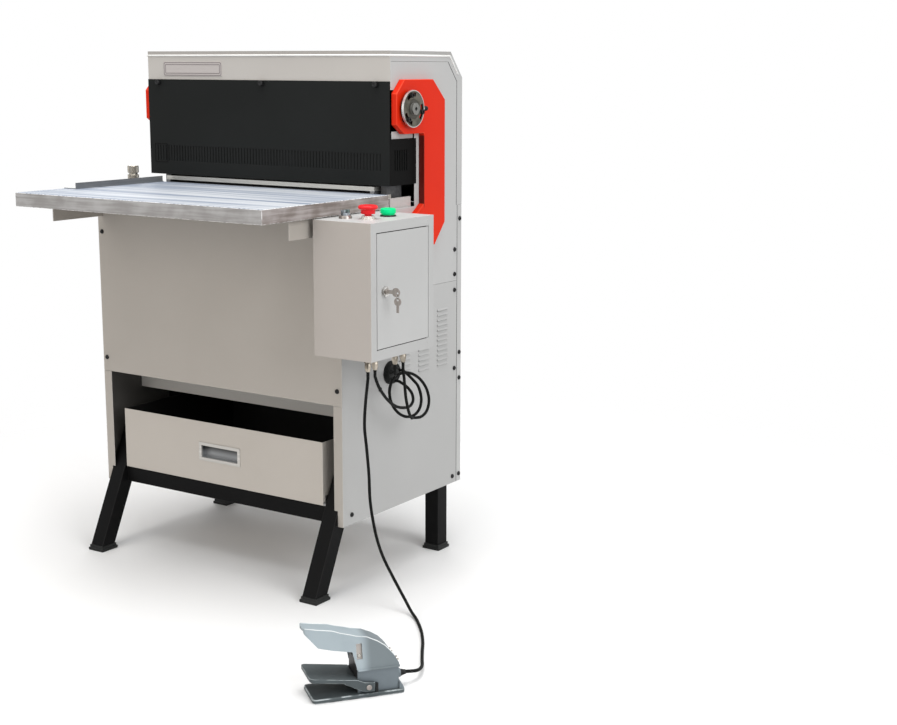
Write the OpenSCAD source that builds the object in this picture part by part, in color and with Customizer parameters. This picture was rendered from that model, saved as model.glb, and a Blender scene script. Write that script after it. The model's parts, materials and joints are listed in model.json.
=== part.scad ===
// Floor-standing electric paper punching machine with a chip drawer,
// a control box on the right-hand side and a foot pedal on a cord.
// X runs to the operator's right, Y away from the operator, Z up.
// Every module is drawn with X = 0 at the cabinet's middle plane, Y = 0 at its
// front panel and Z = 0 on the floor, and place() then moves it to the part's origin.

/* [Cabinet] */
// Width of the cabinet over its side panels
body_w = 760; // [740:1:800]
// Depth of the cabinet from front panel to rear panel
body_d = 500; // [490:1:540]
// Height of the cabinet's top above the floor
body_h = 1250; // [1244:1:1300]
// Thickness of the cabinet's sheet metal
sheet = 2; // [1.5:0.5:2.5]
// Height of the side covers' lower edge above the floor
skirt_z = 165; // [150:1:168]
// Height of the front panel's lower edge
front_z = 452; // [430:1:470]
// Height of the seam between side cover and head panel
seam_z = 688; // [670:1:700]
// Setback of the head's front behind the front panel
head_y = 195; // [190:1:200]
// Height of the pale band above the punch cover
band_h = 69; // [62:1:76]
// Depth of the slope at the rear of the top
slope_y = 52; // [40:1:64]
// Height of the slope at the rear of the top
slope_z = 62; // [50:1:74]
// Width of the top cover's side flanges
lap = 24; // [20:1:28]
// Width of the rear panel's side flanges
rear_lap = 20; // [16:1:26]
// Height of the rear panel's upper edge
rear_top = 877; // [860:1:890]
// Width of the side covers' front returns
return_w = 25; // [20:1:28]
// Setback of the header panel over the drawer
header_y = 128; // [110:1:150]
// Gap between the chip drawer and the header panel's lower edge
header_gap = 29; // [20:1:41]
// Length of one louvre
louvre_w = 45; // [36:1:50]
// Head diameter of the panel screws
screw_d = 10; // [8:0.5:12]

/* [Stand] */
// Side of the stand's square tubes
tube = 40; // [36:1:42]
// Wall of the stand's square tubes
tube_wall = 3; // [2:0.5:4]
// Distance of the front legs' outer faces inside the cabinet's sides
leg_inset = 16; // [12:1:20]
// Forward lean of the front legs in degrees
leg_lean = 25; // [20:1:27]
// Setback of the rear legs
rear_leg_y = 400; // [390:1:404]
// Thickness of the leg shoes
shoe_t = 14; // [12:1:18]
// Margin of the leg shoes around the legs
shoe_rim = 5; // [3:1:9]

/* [Press] */
// Thickness of the cheek plates
cheek_t = 16; // [12:1:20]
// Setback of the punching line and the main shaft behind the head's front
press_in = 53; // [48:1:58]
// Depth of the main shaft below the cabinet's top
shaft_drop = 132; // [126:1:138]
// Diameter of the main shaft
shaft_d = 38; // [34:1:40]
// Throw of the shaft's eccentrics, half the punch stroke
throw = 6; // [5:0.5:6.5]
// Depth of the press bed
bed_d = 60; // [56:1:64]
// Height of the press bed
bed_h = 82; // [70:1:90]
// Height of the gap that takes the paper
paper_gap = 6; // [5:0.5:7]
// Diameter of one punch pin
pin_d = 5; // [3:0.1:6]
// Spacing of the punch pins
pin_pitch = 12.7; // [11:0.05:14.25]
// Diameter of the drive pulleys
pulley_d = 64; // [56:1:66]
// Width of the drive belt
belt_w = 18; // [14:1:19]
// Diameter of the adjusting disc on the right-hand cheek
disc_d = 86; // [80:1:92]

/* [Table] */
// Depth of the work table's surface below the cabinet's top
head_h = 328; // [324:1:340]
// Height of the table's turned-down edges
table_t = 32; // [26:1:38]
// Length of the table
table_l = 750; // [746:1:756]
// Reach of the table in front of the front panel
table_reach = 268; // [230:1:300]
// Reach of the table arms in front of the front panel
arm_reach = 160; // [130:1:190]
// Height of the table arms below the table
arm_drop = 44; // [36:1:50]
// Height of the side guide's fence
fence_h = 15; // [9:0.5:16]

/* [Drawer] */
// Clearance between the chip drawer and each front leg
drawer_room = 6; // [4:1:20]
// Height of the chip drawer
drawer_h = 145; // [120:1:155]
// Depth of the chip drawer
drawer_d = 412; // [380:1:418]
// Width of the drawer's cup handle
handle_w = 132; // [110:1:150]
// Height of the drawer's cup handle
handle_h = 46; // [40:1:54]

/* [Control box] */
// Reach of the control box from the cabinet's side
box_w = 155; // [140:1:170]
// Depth of the control box from front to rear
box_d = 240; // [230:1:250]
// Height of the control box
box_h = 300; // [290:1:310]
// Gap between the control box's top and the table's lower edge
box_gap = 2; // [1:1:20]
// Reach of the control box in front of the front panel
box_reach = 97; // [80:1:110]
// Diameter of the emergency stop's head
stop_d = 44; // [40:1:48]
// Diameter of the cables
cable_d = 7; // [6:0.1:7.4]

/* [Foot pedal] */
// Place of the pedal's near front corner to the right of the middle plane
pedal_x = 699; // [690:1:710]
// Place of the pedal's near front corner in front of the front panel
pedal_reach = 519; // [510:1:530]
// Turn of the pedal on the floor in degrees
pedal_turn = 52; // [51:1:53]
// Length of the pedal's base
pedal_l = 187; // [180:1:192]
// Width of the pedal's base
pedal_w = 84; // [80:1:96]
// Height of the pedal's hood
pedal_h = 148; // [140:1:156]

/* [Hidden] */
$fn = 48;
cream = "#cdc8bd";
grey = "#bfbfbd";
black = "#26282a";
red = "#e23a1e";
steel = "#b4b7ba";
cast = "#85909a";

// Clearances: between moving pieces, at panel seams, at welds and in bearings
gap = 0.3;
seam = 0.5;
weld = 0.2;
play = 0.05;
big = 2000;

half_w = body_w / 2;
in_x = half_w - sheet;
band_z = body_h - band_h;
lip_z = band_z - 20;
rear_seam = body_d - rear_lap - seam;
slope_l = sqrt(slope_y * slope_y + slope_z * slope_z);
table_z = body_h - head_h;
shaft_z = body_h - shaft_drop;
press_y = head_y + press_in;
die_h = 49;
die_step = 1;
die_top = table_z - die_step;
bed_top = die_top - die_h;
bed_z = bed_top - bed_h;
shelf_z = 474;
shelf_t = 8;

// Stand: lean of the front legs and heights of the rails
rail_top = skirt_z + tube;
leg_out = half_w - leg_inset;
leg_in = leg_out - tube;
leg_foot_y = -92;
leg_top = 300;
leg_dep = tube / cos(leg_lean);
rail_y = 12;
side_rail_y = 20;
function leg_y(z) = leg_foot_y + z * tan(leg_lean);
// Top of the notch in a side cover's return, where the leg passes behind it
leg_notch = (sheet - leg_foot_y) / tan(leg_lean) + 2 * seam;

// Cheek plates: a C-shaped outline around the throat
cheek_nose = 50;
cheek_d = 202;
cheek_rise = 67;
cheek_hang = 58;
stem_w = 90;
chamfer = 32;
nose_cut = 22;
heel_cut = [44, 52];
crown_cut = [51, 48];
throat_cut = [31, 22];
bed_cover = 1;
cheek_y0 = press_y - cheek_nose;
cheek_y1 = cheek_y0 + cheek_d;
cheek_top = shaft_z + cheek_rise;
arm_under = shaft_z - cheek_hang;
stem_y = cheek_y1 - stem_w;
cheek_z = bed_z + bed_cover;
bush_wall = 9;
bush_d = shaft_d + 2 * bush_wall;
cheek_x = half_w + cheek_t;
beam_in = 14;
beam_h = 38;

// Punch cover
cover_y = head_y - sheet;
cover_z = table_z + 19;
cover_top = band_z - seam;
cover_back = cover_y + 99;
cover_drop = 11;
slit_pitch = 9.4;
slit_w = 4.2;
slit_h = 40;
slit_z = cover_z + 34;
slit_count = floor((body_w - 44) / slit_pitch);
thumb_d = 14;
thumb_z = cover_top - 7;
thumb_x = half_w - 38;

// Die set and ram, at the top of the stroke
stroke = 2 * throw;
die_rim = 32;
die_y0 = head_y + 3;
die_y1 = press_y + 38;
strip_z = die_top + paper_gap;
strip_t = 10;
tip_z = strip_z + 1.5;
pin_l = 56;
holder_z = tip_z + pin_l;
holder_t = 20;
ram_z = holder_z + holder_t;
ram_t = 40;
ram_d = 46;
ram_x = half_w - 31;
guide_x = half_w - 45;
guide_in = ram_x + gap;
guide_out = half_w - 28;
// As many pins as fit between the ram guides
pin_count = floor(2 * (guide_x - die_rim) / pin_pitch) + 1;
die_w = (pin_count - 1) * pin_pitch + 2 * die_rim;
ecc_d = shaft_d + 2 * throw + 2;
ecc_x = 200;
ecc_w = 30;
yoke_wall = 8;
// Largest lag of the turning eccentric against the evenly moving ram
yoke_lag = 0.22 * throw;
yoke_h = ecc_d / 2 + yoke_lag + gap;
yoke_y = ecc_d / 2 + throw + gap;

// Drive: motor pulley below, shaft pulley above, one belt between them
gearbox = 140;
motor_room = 18;
motor_y = body_d - sheet - motor_room - gearbox / 2;
motor_z = 560;
shelf_rim = 16;
shelf_y = motor_y - gearbox / 2 - shelf_rim;
pulley_x = guide_out + 5;
belt_t = 4;
belt_dy = press_y - motor_y;
belt_dz = shaft_z - motor_z;
belt_l = sqrt(belt_dy * belt_dy + belt_dz * belt_dz);
belt_tilt = atan2(-belt_dy, belt_dz);
belt_room = 3;
gearbox_x = pulley_x - gap;
motor_d = 150;
motor_l = 290;
stub_d = 25;

// Chip chute between bed and drawer
chute_rim = 15;
chute_w = (pin_count - 1) * pin_pitch + 2 * chute_rim;
chute_d = 50;
chute_z = 420;
chip_slot = 26;

// Work table and side guide
table_x1 = half_w + 2;
table_x0 = table_x1 - table_l;
table_y1 = head_y - 11;
under_z = table_z - table_t;
arm_t = 3;
arm_x = half_w - 18;
arm_lip = 36;
guide_y0 = -118;
guide_y1 = 178;
fence_x = table_x0 + 42;
stud_x = table_x0 + 16;
stud_y = 100;
stud_d = 6;
guide_play = 7;
knob_d = 28;
// Knob and lock nut, from below: [diameter, height]
knob_tiers = [[knob_d - 8, 4], [knob_d, 16], [knob_d - 6, 4], [knob_d, 18]];
function tier_z(i) = i == 0 ? knob_z : tier_z(i - 1) + knob_tiers[i - 1][1];
stud_h = 22;
knob_z = table_z + sheet + gap;

// Chip drawer and its runners
drawer_y = 5;
drawer_x = leg_in - drawer_room;
drawer_rise = 9;
drawer_z = rail_top + drawer_rise;
// Gap between the rail and the lip of the drawer's front
lip_room = 2;
header_z = drawer_z + drawer_h + header_gap;
header_h = 82;
header_lip = 22;
runner_w = 22;
runner_t = drawer_z - gap - rail_top - 5;
handle_z = drawer_z + drawer_h / 2 - 2;
cup_rim = 6;
cup_d = 16;

// Control box: door, lock and switches
box_x = half_w + box_w;
box_y = -box_reach;
box_y1 = box_y + box_d;
box_top = under_z - box_gap;
box_z = box_top - box_h;
door_y0 = box_y + 21;
door_y1 = box_y1 - 20;
door_z0 = box_z + 23;
door_z1 = box_top - 22;
door_gap = 2;
door_t = sheet;
hinge_x = box_x - 1.5;
hinge_y = door_y1 - 4;
hinge_d = 3;
knuckle_d = 6;
knuckle_h = 13;
lock_y = door_y0 + 27;
lock_z = box_z + box_h / 2;
lock_d = 22;
plug_d = 12;
switch_x = half_w + 91;
stop_y = box_y + 79;
start_y = box_y + 154;
selector_x = half_w + 42;
selector_y = box_y + 62;
start_d = 30;
selector_d = 20;

// Cable glands below the box and the grommet in the side cover
gland_x = box_x - 35;
gland_ys = [box_y + 35, box_y + 61, box_y + 137, box_y + 169];
gland_h = 30;
gland_z = box_z - gland_h;
grommet_y = 190;
grommet_z = 501;
grommet_d = 56;
grommet_rim = 10;
grommet_bore = grommet_d - 2 * grommet_rim;
grommet_h = 14;
grommet_x = half_w + grommet_h;

// Louvres in the side covers
louvre_cols = 3;
louvre_y = 249;
louvre_edge = 44;
louvre_dy = (rear_seam - louvre_edge - louvre_w / 2 - louvre_y) / (louvre_cols - 1);
louvre_z = 484;
louvre_dz = 12.5;
louvre_top = 54;
louvre_rows = floor((seam_z - louvre_top - louvre_z) / louvre_dz);
louvre_out = 4;
louvre_h = 7;
louvre_slot = 3;

// Foot pedal: places along its length, measured from the front of its base
pedal_corner = 8;
tongue_corner = 9;
hood_corner = 8;
base_t = 9;
hood_in = 4;
hood_wall = 4;
house_s0 = pedal_l - 95;
house_s1 = pedal_l - 11;
house_in = 8;
house_z = base_t + 46;
pivot_s = pedal_l - 74;
pivot_z = 21;
pivot_d = 10;
lever_t = 8;
lever_s0 = -5;
lever_z0 = 45;
lever_drop = 14;
pedal_gland = 12;
cord_z = 26;
function ped(s, w) = [
    pedal_x + s * cos(pedal_turn) - w * sin(pedal_turn),
    -pedal_reach + s * sin(pedal_turn) + w * cos(pedal_turn)
];

// Hood: sections [place, lower edge, top], with side walls that lean inwards
hood_tip = -12;
hood_draft = 0.22;
hood_front = [[hood_tip, -9, 0], [15, -40, -5], [45, -48, -10], [61, -51, -16], [house_s0 - 9, -55, -22]];
// Behind the housing's front, the top falls by these shares of the hood's height above the housing
hood_rear = [[house_s0, 0.73], [pivot_s + 1, 0.69], [pivot_s + 22, 0.58], [pivot_s + 37, 0.47],
    [pivot_s + 47, 0.355], [pivot_s + 54, 0.26], [house_s1 - 4, 0.16], [house_s1, 0.085]];
function hood_top(share) = house_z + share * (pedal_h - house_z);
hood_slot = [house_s0 - 1, house_s0 + 11];
hood_slot_z = [pedal_h - 71, pedal_h - 40];
function hood_side(z) = hood_in + hood_draft * (z - house_z);
hood_sections = concat(
    [for (h = hood_front) [h[0], pedal_h + h[1], pedal_h + h[2]]],
    [for (h = hood_rear) [h[0], house_z, hood_top(h[1])]]);
hood_hollow = concat(
    [for (i = [0:len(hood_front) - 1]) let (h = hood_sections[i])
        [h[0] - (i == 0 ? 1 : 0), h[1] - 12, h[2] - hood_wall]],
    [for (h = hood_rear) if (h[0] < house_s1 - 6)
        [h[0] - hood_wall, house_z - 1, hood_top(h[1]) - hood_wall]]);

// The part's origin: on the floor, below the middle of its outer box
reach_x = ped(pedal_l - pedal_corner, pedal_corner)[0] + pedal_corner;
function corner_y(s, w, c) = ped(s + c, w + c)[1] - c;
reach_y = min(corner_y(lever_s0, 0, tongue_corner), corner_y(hood_tip, hood_side(pedal_h - 9), hood_corner),
    corner_y(0, 0, pedal_corner));
mid_x = (reach_x - cheek_x) / 2;
mid_y = (reach_y + body_d) / 2;

// Routes of the cables, hand-chosen points
cord_low = cable_d / 2 + 1;
cord_end = ped(house_s1 + pedal_gland, pedal_w / 2);
cord_turn = [cos(pedal_turn), sin(pedal_turn)];
pedal_route = [
    [gland_x, gland_ys[0], gland_z], [gland_x, gland_ys[0], gland_z - 15],
    [498, -69, 490], [497, -72, 438], [501, -70, 386], [502, -64, 328], [503, -62, 272],
    [502, -51, 222], [504, -38, 172], [511, -23, 124], [530, -8, 72], [562, -9, 28],
    [585, -20, 11], [611, -38, cord_low], [642, -70, cord_low], [672, -105, cord_low], [702, -146, cord_low],
    [728, -186, cord_low], [752, -222, 5], [774, -254, 8], [789, -283, 14],
    [cord_end[0] + 14, cord_end[1] + 37, 20],
    [cord_end[0] + 14 * cord_turn[0], cord_end[1] + 14 * cord_turn[1], cord_z],
    [cord_end[0], cord_end[1], cord_z]
];
drip_route = [
    [gland_x, gland_ys[1], gland_z], [gland_x, gland_ys[1], gland_z - 14],
    [495, -12, 512], [486, 32, 476], [475, 80, 451], [463, 130, 437], [453, 168, 433],
    [446, 190, 442], [438, 195, 458], [426, 190, 473], [412, 184, 483],
    [grommet_x + 8, 184, 484], [grommet_x, 184, 484]
];
short_route = [
    [gland_x, gland_ys[2], gland_z], [gland_x, gland_ys[2], gland_z - 14],
    [491, 54, 532], [468, 84, 526], [445, 120, 523], [428, 150, 517], [415, 169, 510],
    [grommet_x + 8, 176, 506], [grommet_x, 176, 506]
];
loop_y = 162;
loop_z = 460;
loop_r = 58;
loop_rise = 53;
loop_sag = 18;
loop_lean = 11;
loop_x0 = 466;
loop_dx = -22;
loop_end = 480;
loop_step = 30;
loop_lead = [
    [gland_x, gland_ys[3], gland_z], [gland_x, gland_ys[3], gland_z - 14],
    [498, 80, 512], [491, 96, 470], [482, 120, 432], [473, 144, 412]
];
loop_turns = [for (a = [0:loop_step:loop_end]) [
    loop_x0 + loop_dx * a / 360 + loop_r * sin(a) * sin(loop_lean),
    loop_y + loop_r * sin(a) * cos(loop_lean),
    loop_z - loop_rise * cos(a) - loop_sag * sin(a)
]];
loop_tail = [[439, 200, 488], [429, 194, 500], [414, 197, 507],
    [grommet_x + 8, 200, 508], [grommet_x, 200, 508]];

// Shared shapes
module place() { translate([-mid_x, -mid_y, 0]) children(); }
module block(a, b) { translate(a) cube(b - a); }
module plate_yz(x0, x1, pts) {
    translate([x0, 0, 0]) rotate([90, 0, 90]) linear_extrude(x1 - x0) polygon(pts);
}
module rod_x(x0, x1, y, z, d) { translate([x0, y, z]) rotate([0, 90, 0]) cylinder(h = x1 - x0, d = d); }
module rod_y(y0, y1, x, z, d) { translate([x, y0, z]) rotate([-90, 0, 0]) cylinder(h = y1 - y0, d = d); }
module rod_z(z0, z1, x, y, d) { translate([x, y, z0]) cylinder(h = z1 - z0, d = d); }
module both_sides() { children(); mirror([1, 0, 0]) children(); }
function reverse(v) = [for (i = [len(v) - 1:-1:0]) v[i]];

// Smooth curves and tubes for the cables
function unit(v) = v / norm(v);
function spline_at(a, b, c, d, t) = b + 0.5 * t * (c - a + t * (2 * a - 5 * b + 4 * c - d
    + t * (3 * (b - c) + d - a)));
function smooth(p, n) = [for (i = [0:len(p) - 2], k = [0:n - 1])
    spline_at(p[max(i - 1, 0)], p[i], p[i + 1], p[min(i + 2, len(p) - 1)], k / n), p[len(p) - 1]];
// A route is straight at both ends and smooth in between
function route(p, n) = concat([p[0]], smooth([for (i = [1:len(p) - 2]) p[i]], n), [p[len(p) - 1]]);
function tangents(p) = [for (i = [0:len(p) - 1]) unit(p[min(i + 1, len(p) - 1)] - p[max(i - 1, 0)])];
function normals(t, i, u, acc) = i == len(t) ? acc
    : let (v = unit(u - (u * t[i]) * t[i])) normals(t, i + 1, v, concat(acc, [v]));
module tube_along(p, d, sides) {
    t = tangents(p);
    u = normals(t, 0, [0.3, 1, 0.1], []);
    rings = [for (i = [0:len(p) - 1], k = [0:sides - 1]) let (a = 360 * k / sides)
        p[i] + d / 2 * (cos(a) * u[i] + sin(a) * cross(t[i], u[i]))];
    last = (len(p) - 1) * sides;
    walls = [for (i = [0:len(p) - 2], k = [0:sides - 1])
        let (a = i * sides + k, b = i * sides + (k + 1) % sides)
        each [[a, a + sides, b], [b, a + sides, b + sides]]];
    caps = [for (k = [1:sides - 2]) each [[0, k, k + 1], [last, last + k + 1, last + k]]];
    polyhedron(points = rings, faces = concat(walls, caps));
}
loop_path = route(concat(loop_lead, loop_turns, loop_tail), 2);
loop_gap = min([for (i = [0:len(loop_path) - 1], j = [0:len(loop_path) - 1])
    if (j > i + 8) norm(loop_path[i] - loop_path[j])]) - cable_d;
echo(loop_gap = loop_gap);

// Front legs lean forward, so their side view is a slanted strip
module leg_strip(wall) {
    e = wall / cos(leg_lean);
    plate_yz(leg_in + wall, leg_out - wall, [
        [leg_y(shoe_t) + e, shoe_t], [leg_y(shoe_t) + leg_dep - e, shoe_t],
        [leg_y(leg_top) + leg_dep - e, leg_top], [leg_y(leg_top) + e, leg_top]]);
}

module stand_rails() {
    color(black) {
        block([weld - leg_in, rail_y, skirt_z], [leg_in - weld, rail_y + tube, rail_top]);
        block([weld + tube - in_x, rear_leg_y, skirt_z], [in_x - tube - weld, rear_leg_y + tube, rail_top]);
        both_sides() {
            difference() {
                block([in_x - tube, side_rail_y, skirt_z], [in_x, rear_leg_y + tube, rail_top]);
                leg_strip(0);
            }
            block([in_x - tube, press_y - tube / 2, rail_top + weld], [in_x, press_y + tube / 2, bed_z]);
            block([in_x - tube, rear_leg_y, rail_top + weld], [in_x, rear_leg_y + tube, shelf_z]);
        }
    }
}

module stand_legs() {
    color(black) both_sides() {
        difference() {
            leg_strip(0);
            leg_strip(tube_wall);
        }
        difference() {
            block([in_x - tube, rear_leg_y, shoe_t], [in_x, rear_leg_y + tube, skirt_z]);
            block([in_x - tube + tube_wall, rear_leg_y + tube_wall, 0],
                [in_x - tube_wall, rear_leg_y + tube - tube_wall, skirt_z + 1]);
        }
    }
}

// A shoe is a square pad with a narrower step on top
module shoe(a, b) {
    step = shoe_rim / 2;
    block([a[0] - shoe_rim, a[1] - shoe_rim, 0], [b[0] + shoe_rim, b[1] + shoe_rim, shoe_t / 2]);
    block([a[0] - step, a[1] - step, shoe_t / 2], [b[0] + step, b[1] + step, shoe_t]);
}
module leg_shoes() {
    color(black) both_sides() {
        shoe([leg_in, leg_y(shoe_t)], [leg_out, leg_y(shoe_t) + leg_dep]);
        shoe([in_x - tube, rear_leg_y], [in_x, rear_leg_y + tube]);
    }
}

module louvre_grid() {
    for (c = [0:louvre_cols - 1], r = [0:louvre_rows - 1])
        translate([half_w, louvre_y + c * louvre_dy - louvre_w / 2, louvre_z + r * louvre_dz]) children();
}
module side_cover() {
    difference() {
        union() {
            plate_yz(in_x, half_w, [[0, skirt_z], [rear_seam, skirt_z], [rear_seam, seam_z],
                [sheet, seam_z], [sheet, front_z - seam], [0, front_z - seam]]);
            block([half_w - return_w, 0, skirt_z], [half_w, sheet, front_z - seam]);
            louvre_grid() plate_hood();
        }
        louvre_grid() translate([-sheet - 1, 0, -louvre_slot]) cube([sheet + 2, louvre_w, louvre_slot]);
        block([leg_in - seam, -1, skirt_z - 1], [leg_out + seam, sheet + 1, leg_notch]);
    }
}
module plate_hood() {
    rotate([90, 0, 0]) translate([0, 0, -louvre_w]) linear_extrude(louvre_w)
        polygon([[0, 0], [louvre_out, 0], [0, louvre_h]]);
}
module left_side_cover() { color(grey) mirror([1, 0, 0]) side_cover(); }
module right_side_cover() {
    color(grey) difference() {
        side_cover();
        rod_x(in_x - 1, half_w + 1, grommet_y, grommet_z, grommet_bore);
    }
}

// Outline of the top cover seen from the side, moved inwards by d, and its part behind the front
function top_line(d) = [
    [head_y + d, lip_z], [head_y + d, body_h - d],
    [body_d - slope_y - d * (slope_l - slope_y) / slope_z, body_h - d],
    [body_d - d, body_h - slope_z - d * (slope_l - slope_z) / slope_y], [body_d - d, rear_top]
];
function roof_line(d) = [for (i = [2:4]) top_line(d)[i]];
module head_panel() {
    front_y = head_y + sheet + seam;
    throat_y = cover_back + seam;
    plate_yz(in_x, half_w, concat([[front_y, lip_z], [front_y, body_h - lap - seam]], roof_line(lap + seam),
        [[rear_seam, rear_top], [rear_seam, seam_z + seam], [sheet, seam_z + seam],
        [sheet, under_z - sheet], [throat_y, under_z - sheet], [throat_y, lip_z]]));
}
module left_head_panel() { color(grey) mirror([1, 0, 0]) head_panel(); }
module right_head_panel() { color(grey) head_panel(); }

module front_panel() {
    color(cream) difference() {
        union() {
            block([-half_w, 0, front_z], [half_w, sheet, under_z - sheet]);
            block([-in_x + 1, sheet, front_z], [in_x - 1, 20, front_z + sheet]);
        }
        both_sides() block([arm_x - seam, -1, under_z - arm_drop - seam],
            [arm_x + arm_t + seam, sheet + 1, under_z]);
    }
}

module rear_panel() {
    color(grey) {
        block([-half_w, body_d - sheet, skirt_z], [half_w, body_d, rear_top - seam]);
        both_sides() block([in_x, body_d - rear_lap, skirt_z], [half_w, body_d - sheet, rear_top - seam]);
    }
}

module top_cover() {
    color(cream) {
        difference() {
            plate_yz(-half_w, half_w, concat(top_line(0), reverse(top_line(sheet))));
            for (x = [-thumb_x, 0, thumb_x]) rod_y(head_y - 1, head_y + sheet + 1, x, thumb_z, 6);
        }
        both_sides() plate_yz(in_x, half_w,
            concat([[head_y, body_h - lap], [head_y, body_h]], roof_line(0), reverse(roof_line(lap))));
    }
}

module drawer_header() {
    color(cream) {
        block([-in_x, header_y, header_z], [in_x, header_y + sheet, header_z + header_h]);
        block([-in_x, header_y + sheet, header_z], [in_x, header_y + header_lip, header_z + sheet]);
    }
}

// Round-headed screws on the panels: flat seat, domed top
module screw_head() {
    rotate_extrude() polygon([[0, 0], [screw_d / 2, 0], [screw_d / 2, 1.6], [screw_d * 0.36, 3.2], [0, 3.6]]);
}
screw_y = rear_seam - 11.5;
lap_y = rear_seam + 11;
side_screws = [[screw_y, seam_z + 79], [screw_y, seam_z + 17], [screw_y, seam_z - 23], [screw_y, 465],
    [148, 467], [33, skirt_z + 24], [screw_y - 7, skirt_z + 18], [lap_y, rear_top - 34],
    [lap_y, 503], [lap_y, 437], [lap_y, skirt_z + 19]];
module panel_screws() {
    color(black) both_sides() {
        for (p = side_screws) translate([half_w, p[0], p[1]]) rotate([0, 90, 0]) screw_head();
        for (z = [front_z + 35, under_z - 83]) translate([half_w - 13, 0, z]) rotate([90, 0, 0]) screw_head();
    }
}

plate_in = 55;
plate_up = 8;
plate_w = 195;
plate_h = 35;
plate_t = 1.5;
module name_plate() {
    color("#d6d2c8") translate([plate_in - half_w, head_y - plate_t, band_z + plate_up])
        cube([plate_w, plate_t, plate_h]);
}

module cheek_plate() {
    difference() {
        plate_yz(half_w, cheek_x, [
            [cheek_y0, arm_under + nose_cut], [cheek_y0, cheek_top - chamfer],
            [cheek_y0 + chamfer, cheek_top],
            [cheek_y1 - crown_cut[0], cheek_top], [cheek_y1, cheek_top - crown_cut[1]],
            [cheek_y1, cheek_z + heel_cut[1]], [cheek_y1 - heel_cut[0], cheek_z],
            [cheek_y0 + chamfer, cheek_z], [cheek_y0, cheek_z + chamfer], [cheek_y0, bed_top],
            [stem_y - throat_cut[0], bed_top], [stem_y, bed_top + throat_cut[1]], [stem_y, arm_under],
            [cheek_y0 + chamfer, arm_under]]);
        rod_x(half_w - 1, cheek_x + 1, press_y, shaft_z, bush_d + 2 * play);
    }
}
module left_cheek_plate() { color(red) mirror([1, 0, 0]) cheek_plate(); }
module right_cheek_plate() { color(red) cheek_plate(); }

module press_bed() {
    color(steel) difference() {
        block([-in_x, press_y - bed_d / 2, bed_z], [in_x, press_y + bed_d / 2, bed_top]);
        block([-chute_w / 2, press_y - chip_slot / 2, bed_z - 1],
            [chute_w / 2, press_y + chip_slot / 2, bed_top + 1]);
        at_belt() belt_loop(pulley_d / 2 + gap + belt_t + belt_room, -belt_w - belt_room, belt_room);
    }
}

module rear_tie_beam() {
    color(steel) block([-in_x, stem_y + beam_in, cheek_top - beam_in - beam_h],
        [in_x, cheek_y1 - beam_in, cheek_top - beam_in]);
}

module shaft_bushes() {
    color("#b08a4a") both_sides() difference() {
        rod_x(half_w, cheek_x, press_y, shaft_z, bush_d);
        rod_x(half_w - 1, cheek_x + 1, press_y, shaft_z, shaft_d + 2 * play);
    }
}

// Adjusting disc: three arc slots, each with a clamp screw and a spacer on the cheek
spacer = 8.5;
disc_x0 = cheek_x + spacer;
disc_t = 5;
hub_d = shaft_d + 7;
slot_r = disc_d * 0.385;
slot_w = 9;
slot_half = 31;
disc_turn = 20;
slot_angles = [107, 227, 347];
nose_d = 28;
nose_l = 7;
nose_hole = 9;
ball_d = 12;
lever_x = disc_x0 + disc_t / 2;
module at_disc(a, r) {
    translate([disc_x0, press_y, shaft_z]) rotate([a, 0, 0])
        translate([0, r, 0]) rotate([0, 90, 0]) children();
}
module arc_slot(a) {
    translate([disc_x0, press_y, shaft_z]) rotate([a - slot_half, 0, 0]) rotate([90, 0, 90])
        translate([0, 0, -1]) rotate_extrude(angle = 2 * slot_half)
            translate([slot_r - slot_w / 2, 0]) square([slot_w, disc_t + 2]);
}
module adjusting_disc() {
    color(steel) {
        difference() {
            rod_x(disc_x0, disc_x0 + disc_t, press_y, shaft_z, disc_d);
            rod_x(disc_x0 - 1, disc_x0 + disc_t + 1, press_y, shaft_z, hub_d + 2 * gap);
            for (a = slot_angles) arc_slot(a);
        }
        rod_y(press_y + disc_d / 2 - 1, press_y + disc_d / 2 + 7, lever_x, shaft_z, 5);
        translate([lever_x, press_y + disc_d / 2 + 9, shaft_z]) sphere(d = ball_d);
    }
}
module disc_screws() {
    color(black) for (a = slot_angles) at_disc(a, slot_r) {
        translate([0, 0, -spacer]) cylinder(h = spacer - gap, d = slot_w + 3);
        translate([0, 0, -gap - 1]) cylinder(h = disc_t + 2 * gap + 2, d = slot_w - 2 * gap - 0.4);
        translate([0, 0, disc_t + gap]) cylinder(h = 5, d = slot_w + 3);
    }
}

module main_shaft() {
    color(steel) {
        rod_x(-cheek_x, cheek_x, press_y, shaft_z, shaft_d);
        difference() {
            union() {
                rod_x(cheek_x + gap, disc_x0 + disc_t, press_y, shaft_z, hub_d);
                rod_x(disc_x0, disc_x0 + disc_t + nose_l, press_y, shaft_z, nose_d);
            }
            rod_x(disc_x0 + disc_t, disc_x0 + disc_t + nose_l + 1, press_y, shaft_z, nose_hole);
        }
        rod_x(cheek_x - 1, cheek_x + 1, press_y, shaft_z, shaft_d);
        for (x = [-ecc_x, ecc_x]) rod_x(x - ecc_w / 2, x + ecc_w / 2, press_y, shaft_z + throw, ecc_d);
    }
}
module shaft_pulley() {
    color(steel) difference() {
        rod_x(-pulley_x - belt_w, -pulley_x, press_y, shaft_z, pulley_d);
        rod_x(-pulley_x - belt_w - 1, 1 - pulley_x, press_y, shaft_z, shaft_d + 2 * play);
    }
}
module motor_pulley() {
    color(steel) {
        rod_x(-pulley_x - belt_w, -pulley_x, motor_y, motor_z, pulley_d);
        rod_x(-pulley_x, 20 - gearbox_x, motor_y, motor_z, stub_d);
    }
}
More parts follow.
